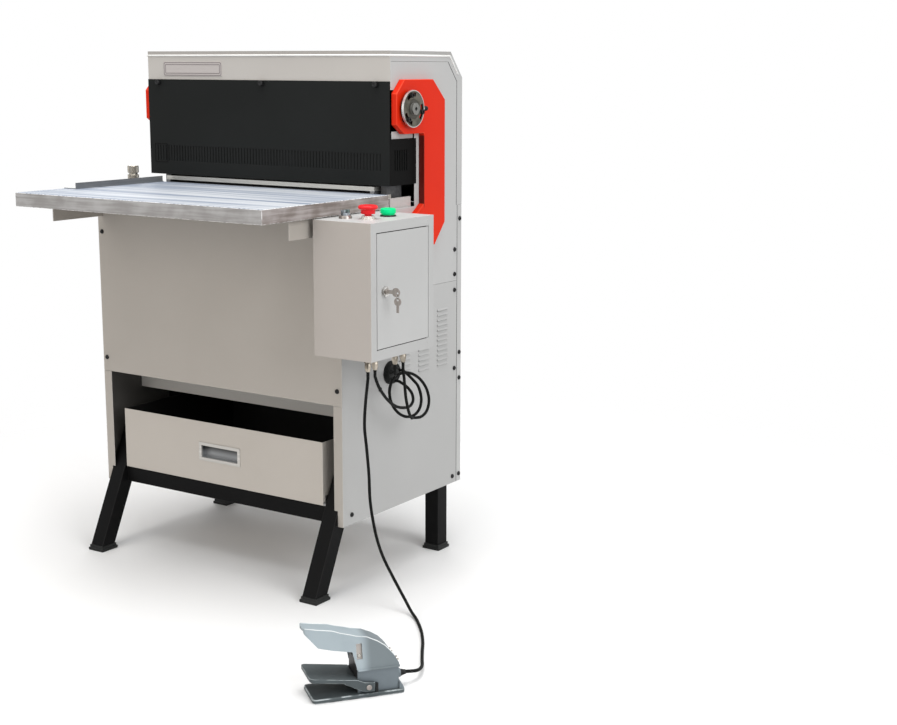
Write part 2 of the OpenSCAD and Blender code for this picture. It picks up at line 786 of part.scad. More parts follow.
module belt_loop(r, x0, x1) {
    rod_x(x0, x1, 0, 0, 2 * r);
    rod_x(x0, x1, 0, belt_l, 2 * r);
    block([x0, -r, 0], [x1, r, belt_l]);
}
module at_belt() { translate([-pulley_x, motor_y, motor_z]) rotate([belt_tilt, 0, 0]) children(); }
module drive_belt() {
    r = pulley_d / 2 + gap;
    color(black) at_belt() difference() {
        belt_loop(r + belt_t, -belt_w, 0);
        belt_loop(r, -belt_w - 1, 1);
    }
}

module gear_motor() {
    foot = shelf_z + shelf_t;
    x1 = gearbox - gearbox_x;
    color("#5f6b73") {
        difference() {
            block([-gearbox_x, motor_y - gearbox / 2, motor_z - gearbox / 2],
                [x1, motor_y + gearbox / 2, motor_z + gearbox / 2]);
            rod_x(-gearbox_x - 1, 21 - gearbox_x, motor_y, motor_z, stub_d + 2 * play);
        }
        block([20 - gearbox_x, motor_y - gearbox / 2, foot],
            [x1 - 20, motor_y + gearbox / 2, motor_z - gearbox / 2]);
        rod_x(x1, x1 + motor_l, motor_y, motor_z, motor_d);
        rod_x(x1 + motor_l, x1 + motor_l + 50, motor_y, motor_z, motor_d + 6);
        block([x1 + 90, motor_y - 45, motor_z + motor_d / 2 - 6],
            [x1 + 190, motor_y + 45, motor_z + motor_d / 2 + 44]);
    }
}
module motor_shelf() {
    color(black) block([-in_x, shelf_y, shelf_z], [in_x, body_d - 2 * sheet, shelf_z + shelf_t]);
}

// Ram with two yokes around the eccentrics
module press_ram() {
    color(steel) {
        block([-ram_x, press_y - ram_d / 2, ram_z], [ram_x, press_y + ram_d / 2, ram_z + ram_t]);
        for (x = [-ecc_x, ecc_x]) difference() {
            block([x - ecc_w / 2 + 2, press_y - yoke_y - yoke_wall, ram_z + ram_t],
                [x + ecc_w / 2 - 2, press_y + yoke_y + yoke_wall, shaft_z + throw + yoke_h + yoke_wall]);
            block([x - ecc_w, press_y - yoke_y, shaft_z + throw - yoke_h],
                [x + ecc_w, press_y + yoke_y, shaft_z + throw + yoke_h]);
        }
    }
}
module ram_guides() {
    color(steel) both_sides() difference() {
        block([guide_x, press_y - bed_d / 2, bed_top], [guide_out, press_y + bed_d / 2, ram_z + ram_t + 10]);
        block([guide_x - 1, press_y - ram_d / 2 - gap, bed_top + 20],
            [guide_in, press_y + ram_d / 2 + gap, ram_z + ram_t + 11]);
    }
}

module pin_row() {
    for (i = [0:pin_count - 1]) translate([(i - (pin_count - 1) / 2) * pin_pitch, press_y, 0]) children();
}
module punch_holder() {
    color("#8d9296") block([-die_w / 2, press_y - ram_d / 2, holder_z],
        [die_w / 2, press_y + ram_d / 2, ram_z]);
}
module punch_pins() {
    color(steel) pin_row() translate([0, 0, tip_z]) cylinder(h = pin_l, d = pin_d, $fn = 24);
}
module stripper_plate() {
    color("#d9dadb") difference() {
        block([-die_w / 2, die_y0, strip_z], [die_w / 2, die_y1, strip_z + strip_t]);
        pin_row() translate([0, 0, strip_z - 1]) cylinder(h = strip_t + 2, d = pin_d + 2 * play, $fn = 24);
    }
}
module die_plate() {
    color("#8d9296") difference() {
        union() {
            block([-die_w / 2, die_y0, bed_top], [die_w / 2, die_y1, die_top]);
            both_sides() block([die_w / 2 - 12, die_y0, die_top], [die_w / 2, die_y1, strip_z]);
        }
        pin_row() translate([0, 0, bed_top - 1]) cylinder(h = die_h + 2, d = pin_d + 2 * play, $fn = 24);
    }
}
module chip_chute() {
    color(steel) difference() {
        block([-chute_w / 2 - sheet, press_y - chute_d / 2, chute_z],
            [chute_w / 2 + sheet, press_y + chute_d / 2, bed_z]);
        block([-chute_w / 2, press_y - chute_d / 2 + sheet, chute_z - 1],
            [chute_w / 2, press_y + chute_d / 2 - sheet, bed_z + 1]);
    }
}

// Cover over the punches, with a row of slits and slitted ends
module punch_cover() {
    color(black) difference() {
        union() {
            block([-half_w, cover_y, cover_z], [half_w, cover_y + sheet, cover_top]);
            both_sides() block([in_x, cover_y + sheet, cover_z],
                [half_w, cover_back, arm_under - cover_drop]);
            block([-in_x, cover_y + sheet, cover_z], [in_x, cover_y + 12, cover_z + sheet]);
        }
        for (i = [0:slit_count - 1]) let (x = (i - (slit_count - 1) / 2) * slit_pitch - slit_w / 2)
            translate([x, cover_y - 1, slit_z]) cube([slit_w, sheet + 2, slit_h]);
        both_sides() for (i = [0:5]) translate([in_x - 1, cover_y + 18 + i * slit_pitch, slit_z])
            cube([sheet + 2, slit_w, slit_h + 8]);
        for (x = [-thumb_x, 0, thumb_x]) rod_y(cover_y - 1, cover_y + sheet + 1, x, thumb_z, 6);
    }
}
module cover_knobs() {
    color(black) for (x = [-thumb_x, 0, thumb_x]) {
        rod_y(cover_y, head_y + sheet, x, thumb_z, 5);
        rod_y(cover_y - 10, cover_y, x, thumb_z, thumb_d);
    }
}

module work_table() {
    color("#c6c9cc") {
        difference() {
            block([table_x0, -table_reach, under_z], [table_x1, table_y1, table_z]);
            block([table_x0 + sheet, sheet - table_reach, under_z - 1],
                [table_x1 - sheet, table_y1 + 1, table_z - sheet]);
        }
        rod_z(table_z - 1, table_z + stud_h, stud_x, stud_y, stud_d);
    }
}
module table_arms() {
    color(cream) both_sides() {
        block([arm_x, -arm_reach, under_z - arm_drop], [arm_x + arm_t, press_y - bed_d / 2, table_z - sheet]);
        block([arm_x - arm_lip, -arm_reach, table_z - sheet - arm_t], [arm_x, table_y1, table_z - sheet]);
    }
}
module side_guide() {
    slot = stud_d / 2 + guide_play + gap;
    color("#8f9397") difference() {
        union() {
            block([table_x0 + 1, guide_y0, table_z], [fence_x, guide_y1, table_z + sheet]);
            block([fence_x - sheet, guide_y0, table_z], [fence_x, guide_y1, table_z + fence_h]);
        }
        block([stud_x - slot, stud_y - stud_d / 2 - gap, table_z - 1],
            [stud_x + slot, stud_y + stud_d / 2 + gap, table_z + sheet + 1]);
    }
}
module guide_knob() {
    color(steel) difference() {
        union() {
            for (i = [0:len(knob_tiers) - 1]) let (tier = knob_tiers[i])
                rod_z(tier_z(i), tier_z(i) + tier[1], stud_x, stud_y, tier[0]);
        }
        rod_z(knob_z - 1, table_z + stud_h + 1, stud_x, stud_y, stud_d + 2 * play);
    }
}

module drawer_runners() {
    color(steel) both_sides() {
        z0 = drawer_z - gap - runner_t;
        block([drawer_x - runner_w + 2, rail_y, z0], [drawer_x + gap, rear_leg_y + tube, drawer_z - gap]);
        block([drawer_x + gap, rail_y, z0], [drawer_x + gap + sheet, rear_leg_y + tube, drawer_z + 16]);
        for (y = [rail_y, rear_leg_y])
            block([drawer_x - runner_w + 2, y, rail_top], [drawer_x + gap + sheet, y + tube, z0]);
    }
}
module chip_drawer() {
    color(cream) difference() {
        union() {
            block([-drawer_x, drawer_y, drawer_z], [drawer_x, drawer_y + drawer_d, drawer_z + drawer_h]);
            block([-drawer_x, drawer_y, rail_top + lip_room], [drawer_x, drawer_y + sheet, drawer_z]);
        }
        block([sheet - drawer_x, drawer_y + sheet, drawer_z + sheet],
            [drawer_x - sheet, drawer_y + drawer_d - sheet, drawer_z + drawer_h + 1]);
        block([-handle_w / 2 + cup_rim, drawer_y - 1, handle_z - handle_h / 2 + cup_rim],
            [handle_w / 2 - cup_rim, drawer_y + sheet + 1, handle_z + handle_h / 2 - cup_rim]);
    }
}
module drawer_handle() {
    w = handle_w / 2;
    h = handle_h / 2;
    color(steel) difference() {
        union() {
            block([-w, drawer_y - sheet, handle_z - h], [w, drawer_y, handle_z + h]);
            block([-w + cup_rim + gap, drawer_y, handle_z - h + cup_rim + gap],
                [w - cup_rim - gap, drawer_y + cup_d, handle_z + h - cup_rim - gap]);
        }
        block([-w + cup_rim + sheet, drawer_y - sheet - 1, handle_z - h + cup_rim + sheet],
            [w - cup_rim - sheet, drawer_y + cup_d - sheet, handle_z + h - cup_rim - sheet]);
    }
}

// Sheet box, open towards the door, with hinge knuckles above and below the door
module control_box() {
    color(grey) difference() {
        union() {
            difference() {
                block([half_w, box_y, box_z], [box_x, box_y1, box_top]);
                block([half_w + sheet, box_y + sheet, box_z + sheet],
                    [box_x - sheet, box_y1 - sheet, box_top - sheet]);
                block([box_x - sheet - 1, door_y0, door_z0], [box_x + 1, door_y1, door_z1]);
                for (y = gland_ys) rod_z(box_z - 1, box_z + sheet + 1, gland_x, y, cable_d + 4);
            }
            rod_z(door_z1, door_z1 + knuckle_h, hinge_x, hinge_y, knuckle_d);
            rod_z(door_z0 - knuckle_h, door_z0, hinge_x, hinge_y, knuckle_d);
        }
        rod_z(door_z1 - 1, door_z1 + knuckle_h - 2, hinge_x, hinge_y, hinge_d + 2 * play);
        rod_z(door_z0 - knuckle_h + 2, door_z0 + 1, hinge_x, hinge_y, hinge_d + 2 * play);
    }
}
module control_door() {
    color(grey) difference() {
        union() {
            block([box_x - sheet, door_y0 + door_gap, door_z0 + door_gap],
                [box_x - sheet + door_t, door_y1 - door_gap, door_z1 - door_gap]);
            rod_z(door_z1 - door_gap - 1, door_z1 + knuckle_h - 3, hinge_x, hinge_y, hinge_d);
            rod_z(door_z0 - knuckle_h + 3, door_z0 + door_gap + 1, hinge_x, hinge_y, hinge_d);
            rod_x(box_x - 10, box_x + 8, lock_y, lock_z, lock_d);
        }
        rod_x(box_x - 11, box_x + 9, lock_y, lock_z, plug_d + 2 * play);
    }
}
// Lock plug with its key, a ring that hangs in the key's bow and a spare key on the ring
ring_d = 10;
wire_d = 1.4;
module key_bow(x, z, d, hole_z, hole_d) {
    difference() {
        rod_y(lock_y - 1, lock_y + 1, x, z, d);
        rod_y(lock_y - 2, lock_y + 2, bow_x + 4, hole_z, hole_d);
    }
}
plug_x = box_x + 8;
bow_x = plug_x + 24;
bow_d = 20;
eye_d = 6;
eye_z = lock_z - 2;
ring_z = eye_z - eye_d / 2 + wire_d / 2 + gap - ring_d / 2;
spare_eye = ring_z - ring_d / 2 + wire_d / 2 + gap - eye_d / 2;
spare_z = spare_eye - 4;
module lock_key() {
    color(steel) {
        rod_x(box_x - 14, plug_x + 2, lock_y, lock_z, plug_d);
        block([box_x - 18, lock_y - 22, lock_z - 5], [box_x - 14, lock_y + 5, lock_z + 5]);
        block([plug_x + 2, lock_y - 1, lock_z - 4], [plug_x + 17, lock_y + 1, lock_z + 4]);
        key_bow(bow_x, lock_z, bow_d, eye_z, eye_d);
        translate([bow_x + 4, lock_y, ring_z]) rotate([0, 90, 0])
            rotate_extrude() translate([ring_d / 2, 0]) circle(d = wire_d);
        key_bow(bow_x + 4, spare_z, bow_d - 2, spare_eye, eye_d);
        block([bow_x + 1, lock_y - 1, spare_z - 24], [bow_x + 7, lock_y + 1, spare_z - 7]);
    }
}

// A ring-shaped bezel on the box's top
module bezel(x, y, d, bore, h) {
    difference() {
        rod_z(box_top, box_top + h, x, y, d);
        rod_z(box_top - 1, box_top + h + 1, x, y, bore);
    }
}
stop_stem = 16;
module switch_bezels() {
    color(steel) {
        bezel(switch_x, stop_y, stop_stem + 14, stop_stem + 2 * gap, 7);
        bezel(switch_x, start_y, start_d + 6, start_d + 2 * gap, 3.5);
        bezel(selector_x, selector_y, selector_d + 9, selector_d + 2 * gap, 7);
    }
}
module emergency_button() {
    r = stop_d / 2;
    color("#d8201c") translate([switch_x, stop_y, box_top]) {
        translate([0, 0, 4.5]) cylinder(h = 8, d = stop_stem);
        translate([0, 0, 11.5]) rotate_extrude()
            polygon([[0, 0], [r - 6.5, 0], [r - 6, 7], [r - 5, 9.5], [r - 1, 11.2], [r, 13], [r, 15.4],
                [r - 2, 18], [r - 8, 19.6], [0, 20]]);
    }
}
module start_button() {
    r = start_d / 2;
    color("#17a05d") translate([switch_x, start_y, box_top + 3.3]) rotate_extrude()
        polygon([[0, 0], [r, 0], [r, 3.5], [r + 2.5, 3.5], [r + 2.5, 12.2], [r + 1, 14.2], [0, 14.8]]);
}
module selector_knob() {
    color(black) {
        rod_z(box_top + gap, box_top + 12, selector_x, selector_y, selector_d);
        block([selector_x - 3.5, selector_y - 12, box_top + 12],
            [selector_x + 3.5, selector_y + 12, box_top + 19]);
    }
}
// Backplate with a contactor, a relay and a terminal strip, each [place, size]
gear_rim = 20;
devices = [[[40, 150], [76, 45, 85]], [[105, 155], [60, 45, 75]], [[40, 55], [43, 155, 40]]];
module switch_gear() {
    x0 = half_w + sheet;
    color("#dcdcd8") {
        block([x0, box_y + gear_rim, box_z + gear_rim], [x0 + sheet, box_y1 - gear_rim, box_top - gear_rim]);
        for (d = devices) translate([x0 + sheet + weld, box_y + d[0][0], box_z + d[0][1]]) cube(d[1]);
    }
}
module cable_glands() {
    hex = cable_d + 12;
    color("#c3b18a") for (y = gland_ys) translate([gland_x, y, 0]) {
        translate([0, 0, box_z - 10]) cylinder(h = 10, d = hex, $fn = 6);
        translate([0, 0, gland_z + 8]) cylinder(h = gland_h - 18, d = hex - 4);
        translate([0, 0, gland_z]) cylinder(h = 8, d = hex - 7);
    }
}
module cable_grommet() {
    r = grommet_d / 2;
    color(black) {
        translate([half_w, grommet_y, grommet_z]) rotate([0, 90, 0]) rotate_extrude()
            polygon([[0, 0], [r, 0], [r, 3], [r - 2, 8], [r - 4, grommet_h], [0, grommet_h]]);
        rod_x(in_x - 4, half_w, grommet_y, grommet_z, grommet_bore - 2 * gap);
    }
}
module loop_cable() { color(black) tube_along(loop_path, cable_d, 6); }
module drip_cable() { color(black) tube_along(route(drip_route, 2), cable_d, 8); }
module short_cable() { color(black) tube_along(route(short_route, 2), cable_d, 8); }
module pedal_cord() { color(black) tube_along(route(pedal_route, 3), cable_d, 8); }

// Foot pedal, drawn along its own length and then set down on the floor
module at_pedal() { translate([pedal_x, -pedal_reach, 0]) rotate([0, 0, pedal_turn]) children(); }
module profile_sz(w0, w1, pts) {
    translate([0, w1, 0]) rotate([90, 0, 0]) linear_extrude(w1 - w0) polygon(pts);
}
module rod_w(w0, w1, s, z, d) { translate([s, w0, z]) rotate([-90, 0, 0]) cylinder(h = w1 - w0, d = d); }
module pedal_base() {
    c = pedal_corner;
    color(cast) at_pedal() {
        block([c, 0, 0], [pedal_l - c, pedal_w, base_t]);
        block([0, c, 0], [pedal_l, pedal_w - c, base_t]);
        for (s = [c, pedal_l - c], w = [c, pedal_w - c]) rod_z(0, base_t, s, w, 2 * c);
    }
}
module pedal_housing() {
    w0 = house_in;
    w1 = pedal_w - house_in;
    color(cast) at_pedal() {
        difference() {
            block([house_s0, w0, base_t], [house_s1, w1, house_z]);
            block([house_s0 + 5, w0 + 5, base_t - 1], [house_s1 - 5, w1 - 5, house_z + 1]);
        }
        rod_w(gap, w0, pivot_s, pivot_z, pivot_d);
        rod_w(w1, pedal_w - gap, pivot_s, pivot_z, pivot_d);
        translate([house_s1, pedal_w / 2, cord_z]) rotate([0, 90, 0])
            cylinder(h = pedal_gland, d = cable_d + 11);
    }
}
// A loft of four-cornered sections across the pedal, its walls set in by d
module hood_loft(sections, d) {
    points = [for (h = sections) each [
        [h[0], hood_side(h[1]) + d, h[1]], [h[0], hood_side(h[2]) + d, h[2]],
        [h[0], pedal_w - hood_side(h[2]) - d, h[2]], [h[0], pedal_w - hood_side(h[1]) - d, h[1]]]];
    last = 4 * (len(sections) - 1);
    walls = [for (i = [0:len(sections) - 2], k = [0:3]) let (a = 4 * i + k, b = 4 * i + (k + 1) % 4)
        each [[a, b, a + 4], [b, b + 4, a + 4]]];
    caps = [[0, 2, 1], [0, 3, 2], [last, last + 1, last + 2], [last, last + 2, last + 3]];
    polyhedron(points = points, faces = concat(walls, caps));
}
// What rounding takes off the front corners of a piece that starts at s, with its sides at w and pedal_w - w
module front_corners(s, w, c, z0, z1) {
    for (far = [false, true]) let (w0 = far ? pedal_w - w - c : w - 1, w1 = far ? pedal_w - w + 1 : w + c)
        difference() {
            block([s - 1, w0, z0], [s + c, w1, z1]);
            rod_z(z0 - 1, z1 + 1, s + c, far ? w0 : w1, 2 * c);
        }
}
module pedal_hood() {
    color(cast) at_pedal() difference() {
        hood_loft(hood_sections, 0);
        hood_loft(hood_hollow, hood_wall);
        front_corners(hood_tip, hood_side(pedal_h - 9), hood_corner, house_z, pedal_h + 1);
        for (w = [-1, pedal_w - 20])
            block([hood_slot[0], w, hood_slot_z[0]], [hood_slot[1], w + 21, hood_slot_z[1]]);
    }
}
module pedal_tongue() {
    arm = house_in - 2 * gap;
    lever_top = lever_z0 + lever_t;
    rear_s = house_s0 - 2;
    slab = [[lever_s0, lever_z0], [rear_s, lever_z0 - lever_drop], [rear_s, lever_top - lever_drop],
        [lever_s0, lever_top]];
    lug = [[rear_s - 26, lever_z0 - lever_drop + 2], [pivot_s - 8, pivot_z - 9], [pivot_s + 12, pivot_z - 9],
        [pivot_s + 12, pivot_z + 9], [pivot_s - 8, pivot_z + 11], [rear_s, lever_top - lever_drop],
        [rear_s - 26, lever_top - lever_drop + 2]];
    color(cast) at_pedal() {
        difference() {
            profile_sz(0, pedal_w, slab);
            front_corners(lever_s0, 0, tongue_corner, base_t, lever_top + 1);
        }
        for (w = [0, pedal_w - arm]) difference() {
            profile_sz(w, w + arm, lug);
            rod_w(w - 1, w + arm + 1, pivot_s, pivot_z, pivot_d + 2 * play);
        }
    }
}

place() stand_rails();
place() stand_legs();
place() leg_shoes();
place() left_side_cover();
place() right_side_cover();
place() left_head_panel();
place() right_head_panel();
place() front_panel();
place() rear_panel();
place() top_cover();
place() drawer_header();
place() panel_screws();
place() name_plate();
place() left_cheek_plate();
place() right_cheek_plate();
place() press_bed();
place() rear_tie_beam();
place() shaft_bushes();
place() disc_screws();
place() punch_cover();
place() cover_knobs();
place() ram_guides();
place() gear_motor();
place() motor_shelf();
place() drive_belt();
place() work_table();
place() table_arms();
place() control_box();
place() cable_glands();
place() switch_gear();
place() switch_bezels();
place() cable_grommet();
place() loop_cable();
place() drip_cable();
place() short_cable();
place() pedal_cord();
place() drawer_runners();
place() pedal_base();
place() pedal_housing();
place() pedal_hood();
place() chip_chute();
place() main_shaft();
place() shaft_pulley();
place() motor_pulley();
place() press_ram();
place() punch_holder();
place() punch_pins();
place() stripper_plate();
place() die_plate();
place() adjusting_disc();
place() chip_drawer();
place() drawer_handle();
place() control_door();
place() lock_key();
place() emergency_button();
place() start_button();
place() selector_knob();
place() side_guide();
place() guide_knob();
place() pedal_tongue();
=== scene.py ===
import json
import math

import bmesh
import bpy
from mathutils import Matrix, Vector


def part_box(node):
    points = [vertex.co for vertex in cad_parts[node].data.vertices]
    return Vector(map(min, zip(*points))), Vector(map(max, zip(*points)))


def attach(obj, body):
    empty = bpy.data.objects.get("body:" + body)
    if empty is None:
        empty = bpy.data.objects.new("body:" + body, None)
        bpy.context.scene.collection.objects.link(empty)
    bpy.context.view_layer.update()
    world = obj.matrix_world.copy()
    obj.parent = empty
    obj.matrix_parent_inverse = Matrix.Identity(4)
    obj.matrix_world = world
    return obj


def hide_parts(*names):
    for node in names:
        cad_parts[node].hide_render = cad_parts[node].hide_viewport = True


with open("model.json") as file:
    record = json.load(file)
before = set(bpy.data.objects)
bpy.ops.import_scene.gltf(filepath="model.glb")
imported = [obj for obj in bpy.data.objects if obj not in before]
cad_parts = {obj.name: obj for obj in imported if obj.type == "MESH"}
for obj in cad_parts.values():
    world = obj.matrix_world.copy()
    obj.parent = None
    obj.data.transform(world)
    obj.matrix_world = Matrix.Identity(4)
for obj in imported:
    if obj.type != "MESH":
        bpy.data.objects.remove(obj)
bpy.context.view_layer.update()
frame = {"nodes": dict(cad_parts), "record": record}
nodes = frame["nodes"]
bodyOf = {node: body for body, members in frame["record"]["behaviour"]["bodies"].items() for node in members}
mm = 0.001
print("frame loaded:", len(nodes), "nodes")

panelLo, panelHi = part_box("front_panel")
middleX = (panelLo.x + panelHi.x) / 2  # the cabinet's middle plane
frontY = panelLo.y  # the front panel's face


def at(x, y, z):  # machine millimetres to the frame's metres
    return Vector((middleX + x * mm, frontY + y * mm, z * mm))


machine = Matrix.Translation(at(0, 0, 0)) @ Matrix.Scale(mm, 4)  # pieces below are drawn in millimetres
unMachine = machine.inverted()


# Camera, fitted to the cabinet's edges
camera = {"azimuth": 33.208, "elevation": 11.223, "roll": 0.199, "place": (2396.4, -2637.5, 1213.9),
          "focalPixels": 1490.2, "imageWidth": 897, "sensor": 36.0}


def setCamera():
    az, el, roll = (math.radians(camera[k]) for k in ("azimuth", "elevation", "roll"))
    back = Vector((math.sin(az) * math.cos(el), -math.cos(az) * math.cos(el), math.sin(el)))
    right = Vector((math.cos(az), math.sin(az), 0))
    up = back.cross(right)
    side = math.cos(roll) * right + math.sin(roll) * up
    top = math.cos(roll) * up - math.sin(roll) * right
    data = bpy.data.cameras.new("camera")
    data.sensor_fit = "HORIZONTAL"
    data.sensor_width = camera["sensor"]
    data.lens = camera["focalPixels"] / camera["imageWidth"] * camera["sensor"]
    obj = bpy.data.objects.new("camera", data)
    bpy.context.scene.collection.objects.link(obj)
    turn = Matrix((side, top, back)).transposed().to_4x4()
    obj.matrix_world = Matrix.Translation(at(*camera["place"])) @ turn
    bpy.context.scene.camera = obj


setCamera()


# Shader values: expressions on them add Math nodes
class Val:
    def __init__(self, tree, socket=None):
        self.tree, self.socket = tree, socket

    def make(self, kind, settings=None, inputs=None, out=0):
        node = self.tree.nodes.new(kind)
        for key, value in (settings or {}).items():
            setattr(node, key, value)
        for key, value in (inputs or {}).items():
            if isinstance(value, Val):
                self.tree.links.new(value.socket, node.inputs[key])
            else:
                node.inputs[key].default_value = value
        return Val(self.tree, node.outputs[out] if node.outputs else None)

    def maths(self, operation, *others):
        return self.make("ShaderNodeMath", {"operation": operation}, dict(enumerate(others)))

    def __add__(self, other):
        return self.maths("ADD", self, other)

    def __sub__(self, other):
        return self.maths("SUBTRACT", self, other)

    def __rsub__(self, other):
        return self.maths("SUBTRACT", other, self)

    def __mul__(self, other):
        return self.maths("MULTIPLY", self, other)

    def __gt__(self, other):
        return self.maths("GREATER_THAN", self, other)

    def __lt__(self, other):
        return self.maths("LESS_THAN", self, other)

    __radd__ = __add__
    __rmul__ = __mul__


def noise(place, scale, detail, stretch=None):
    if stretch:
        place = place.make("ShaderNodeVectorMath", {"operation": "MULTIPLY"}, {0: place, 1: stretch})
    return place.make("ShaderNodeTexNoise", {}, {"Vector": place, "Scale": scale, "Detail": detail}, "Fac")


def ramp(value, low, high):  # a smooth step from 0 to 1
    fields = {"Value": value, "From Min": low, "From Max": high}
    return value.make("ShaderNodeMapRange", {"interpolation_type": "SMOOTHSTEP"}, fields)


def blendTones(factor, first, second):
    fields = {0: factor, 6: first if isinstance(first, Val) else (*first, 1),
              7: second if isinstance(second, Val) else (*second, 1)}
    return factor.make("ShaderNodeMix", {"data_type": "RGBA"}, fields, 2)


def bumps(height, strength, distance):
    fields = {"Height": height, "Strength": strength, "Distance": distance}
    return height.make("ShaderNodeBump", {}, fields, "Normal")


def markOf(place, layer):  # "edge": rounded edges of a copy, "inside": faces that look into the machine
    return place.make("ShaderNodeAttribute", {"attribute_name": layer}, {}, "Fac")


def edgeMask(place):
    return markOf(place, "edge")


def axisOf(place, axis):
    return place.make("ShaderNodeSeparateXYZ", {}, {0: place}, axis)


finishes = {}


def newFinish(name, build, **fixed):
    material = bpy.data.materials.new(name)
    material.use_nodes = True
    material.node_tree.nodes.clear()
    start = Val(material.node_tree)
    place = start.make("ShaderNodeTexCoord", {}, {}, "Object")
    shader = start.make("ShaderNodeBsdfPrincipled", {}, {**fixed, **build(place)})
    start.make("ShaderNodeOutputMaterial", {}, {"Surface": shader})
    finishes[name] = material


def awayFrom(place, centre, keep):  # distance from a point, in the directions kept
    shifted = place.make("ShaderNodeVectorMath", {"operation": "SUBTRACT"}, {0: place, 1: tuple(centre)})
    flat = place.make("ShaderNodeVectorMath", {"operation": "MULTIPLY"}, {0: shifted, 1: keep})
    return place.make("ShaderNodeVectorMath", {"operation": "LENGTH"}, {0: flat}, "Value")


edgeGlint = 0.3  # painted highlight: share of the chip tone that every painted edge shows, as light caught along the edge


def paint(tone, shade, chip, rough=0.42, peel=0.06, wear=0.5, inner=None):
    # powder coat: faint clouding, orange peel, rubbed edges with a painted highlight, and painted shade on the
    # faces inside the machine
    def build(place):
        cloud = ramp(noise(place, 3.2, 4), 0.35, 0.7)
        specks = ramp(noise(place, 240, 2), 0.66, 0.74)
        edges = edgeMask(place)
        base = blendTones(cloud, tone, shade)
        base = blendTones(specks * 0.10, base, chip)
        if inner:
            # painted shade: faces inside the machine take the dark inner tone
            hidden = markOf(place, "inside")
            base, edges = blendTones(hidden, base, inner), edges * (1 - 0.95 * hidden)
        rubbed = edges * ramp(noise(place, 26, 4), 0.45, 0.68) * wear
        dull = rough + 0.10 * (noise(place, 9, 3) - 0.5) + 0.12 * rubbed
        skin = noise(place, 620, 2)
        # painted highlight along the edges, laid over the real rubbed wear
        worn = blendTones(rubbed, blendTones(edges * edgeGlint, base, chip), chip)
        return {"Base Color": worn, "Roughness": dull, "Normal": bumps(skin, peel, 0.0006)}
    return build


def metal(tone, shade, rough, grain, streak, lift=0.08):
    # brushed or ground metal: long streaks along the grain and a few stains
    def build(place):
        lines = noise(place, streak, 3, grain)
        broad = noise(place, streak / 9, 4, grain)
        stain = ramp(noise(place, 14, 4), 0.45, 0.75)
        bright = ramp(lines * 0.55 + broad * 0.45, 0.35, 0.65)
        base = blendTones(bright, shade, tone)
        dull = rough + 0.12 * (broad - 0.5) + 0.10 * stain - 0.06 * edgeMask(place)
        return {"Base Color": blendTones(stain * 0.25, base, shade), "Roughness": dull,
                "Normal": bumps(lines, lift, 0.0004)}
    return build


def moulded(tone, shade, rough, grain=900.0, depth=0.05):
    # plastic or rubber: fine moulded skin, a little dust and handling shine
    def build(place):
        cloud = ramp(noise(place, 22, 4), 0.4, 0.7)
        handled = noise(place, 60, 3)
        base = blendTones(cloud * 0.6 + 0.3 * edgeMask(place), tone, shade)
        return {"Base Color": base, "Roughness": rough + 0.14 * (handled - 0.5),
                "Normal": bumps(noise(place, grain, 2), depth, 0.0005)}
    return build


def casting(tone, shade, bare, worn):
    # painted casting: sand grain under the paint, bare metal at worn edges
    def build(place):
        sand = noise(place, 300, 4)
        cloud = ramp(noise(place, 16, 5), 0.35, 0.7)
        rubbed = edgeMask(place) * ramp(noise(place, 45, 4), 0.55 - 0.25 * worn, 0.78 - 0.25 * worn)
        base = blendTones(cloud, tone, shade)
        return {"Base Color": blendTones(rubbed * worn, base, bare),
                "Roughness": 0.48 + 0.16 * (noise(place, 38, 3) - 0.5) - 0.08 * rubbed,
                "Metallic": 0.1 + 0.3 * worn * rubbed, "Normal": bumps(sand, 0.14, 0.0008)}
    return build


pedal = {"spot": (699, -519, 0), "turn": 52, "pivot": (113, 21), "width": 84, "draft": 0.22, "rim": 55}
hoodRearShade = {"from": 98 * mm, "to": 122 * mm, "share": 0.75}


def hoodCasting(place):
    # pale painted casting; behind its side slots it is painted darker as shade
    coat = casting((0.34, 0.395, 0.425), (0.295, 0.345, 0.375), (0.86, 0.89, 0.88), 0.95)(place)
    turn, spot = math.radians(pedal["turn"]), at(*pedal["spot"])
    along = (axisOf(place, "X") - spot.x) * math.cos(turn) + (axisOf(place, "Y") - spot.y) * math.sin(turn)
    # painted shade on the hood's rear part, edges kept
    rear = ramp(along, hoodRearShade["from"], hoodRearShade["to"]) * (1 - 0.8 * edgeMask(place)) * hoodRearShade["share"]
    return {**coat, "Base Color": blendTones(rear, coat["Base Color"], (0.11, 0.13, 0.138))}


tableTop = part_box("side_guide")[0].z  # the guide lies on the table
tableMarks = {"edge": 0.5 * mm, "shadedRightEnd": 381.4 * mm, "shadedLeftEnd": (-0.37, 0.05)}


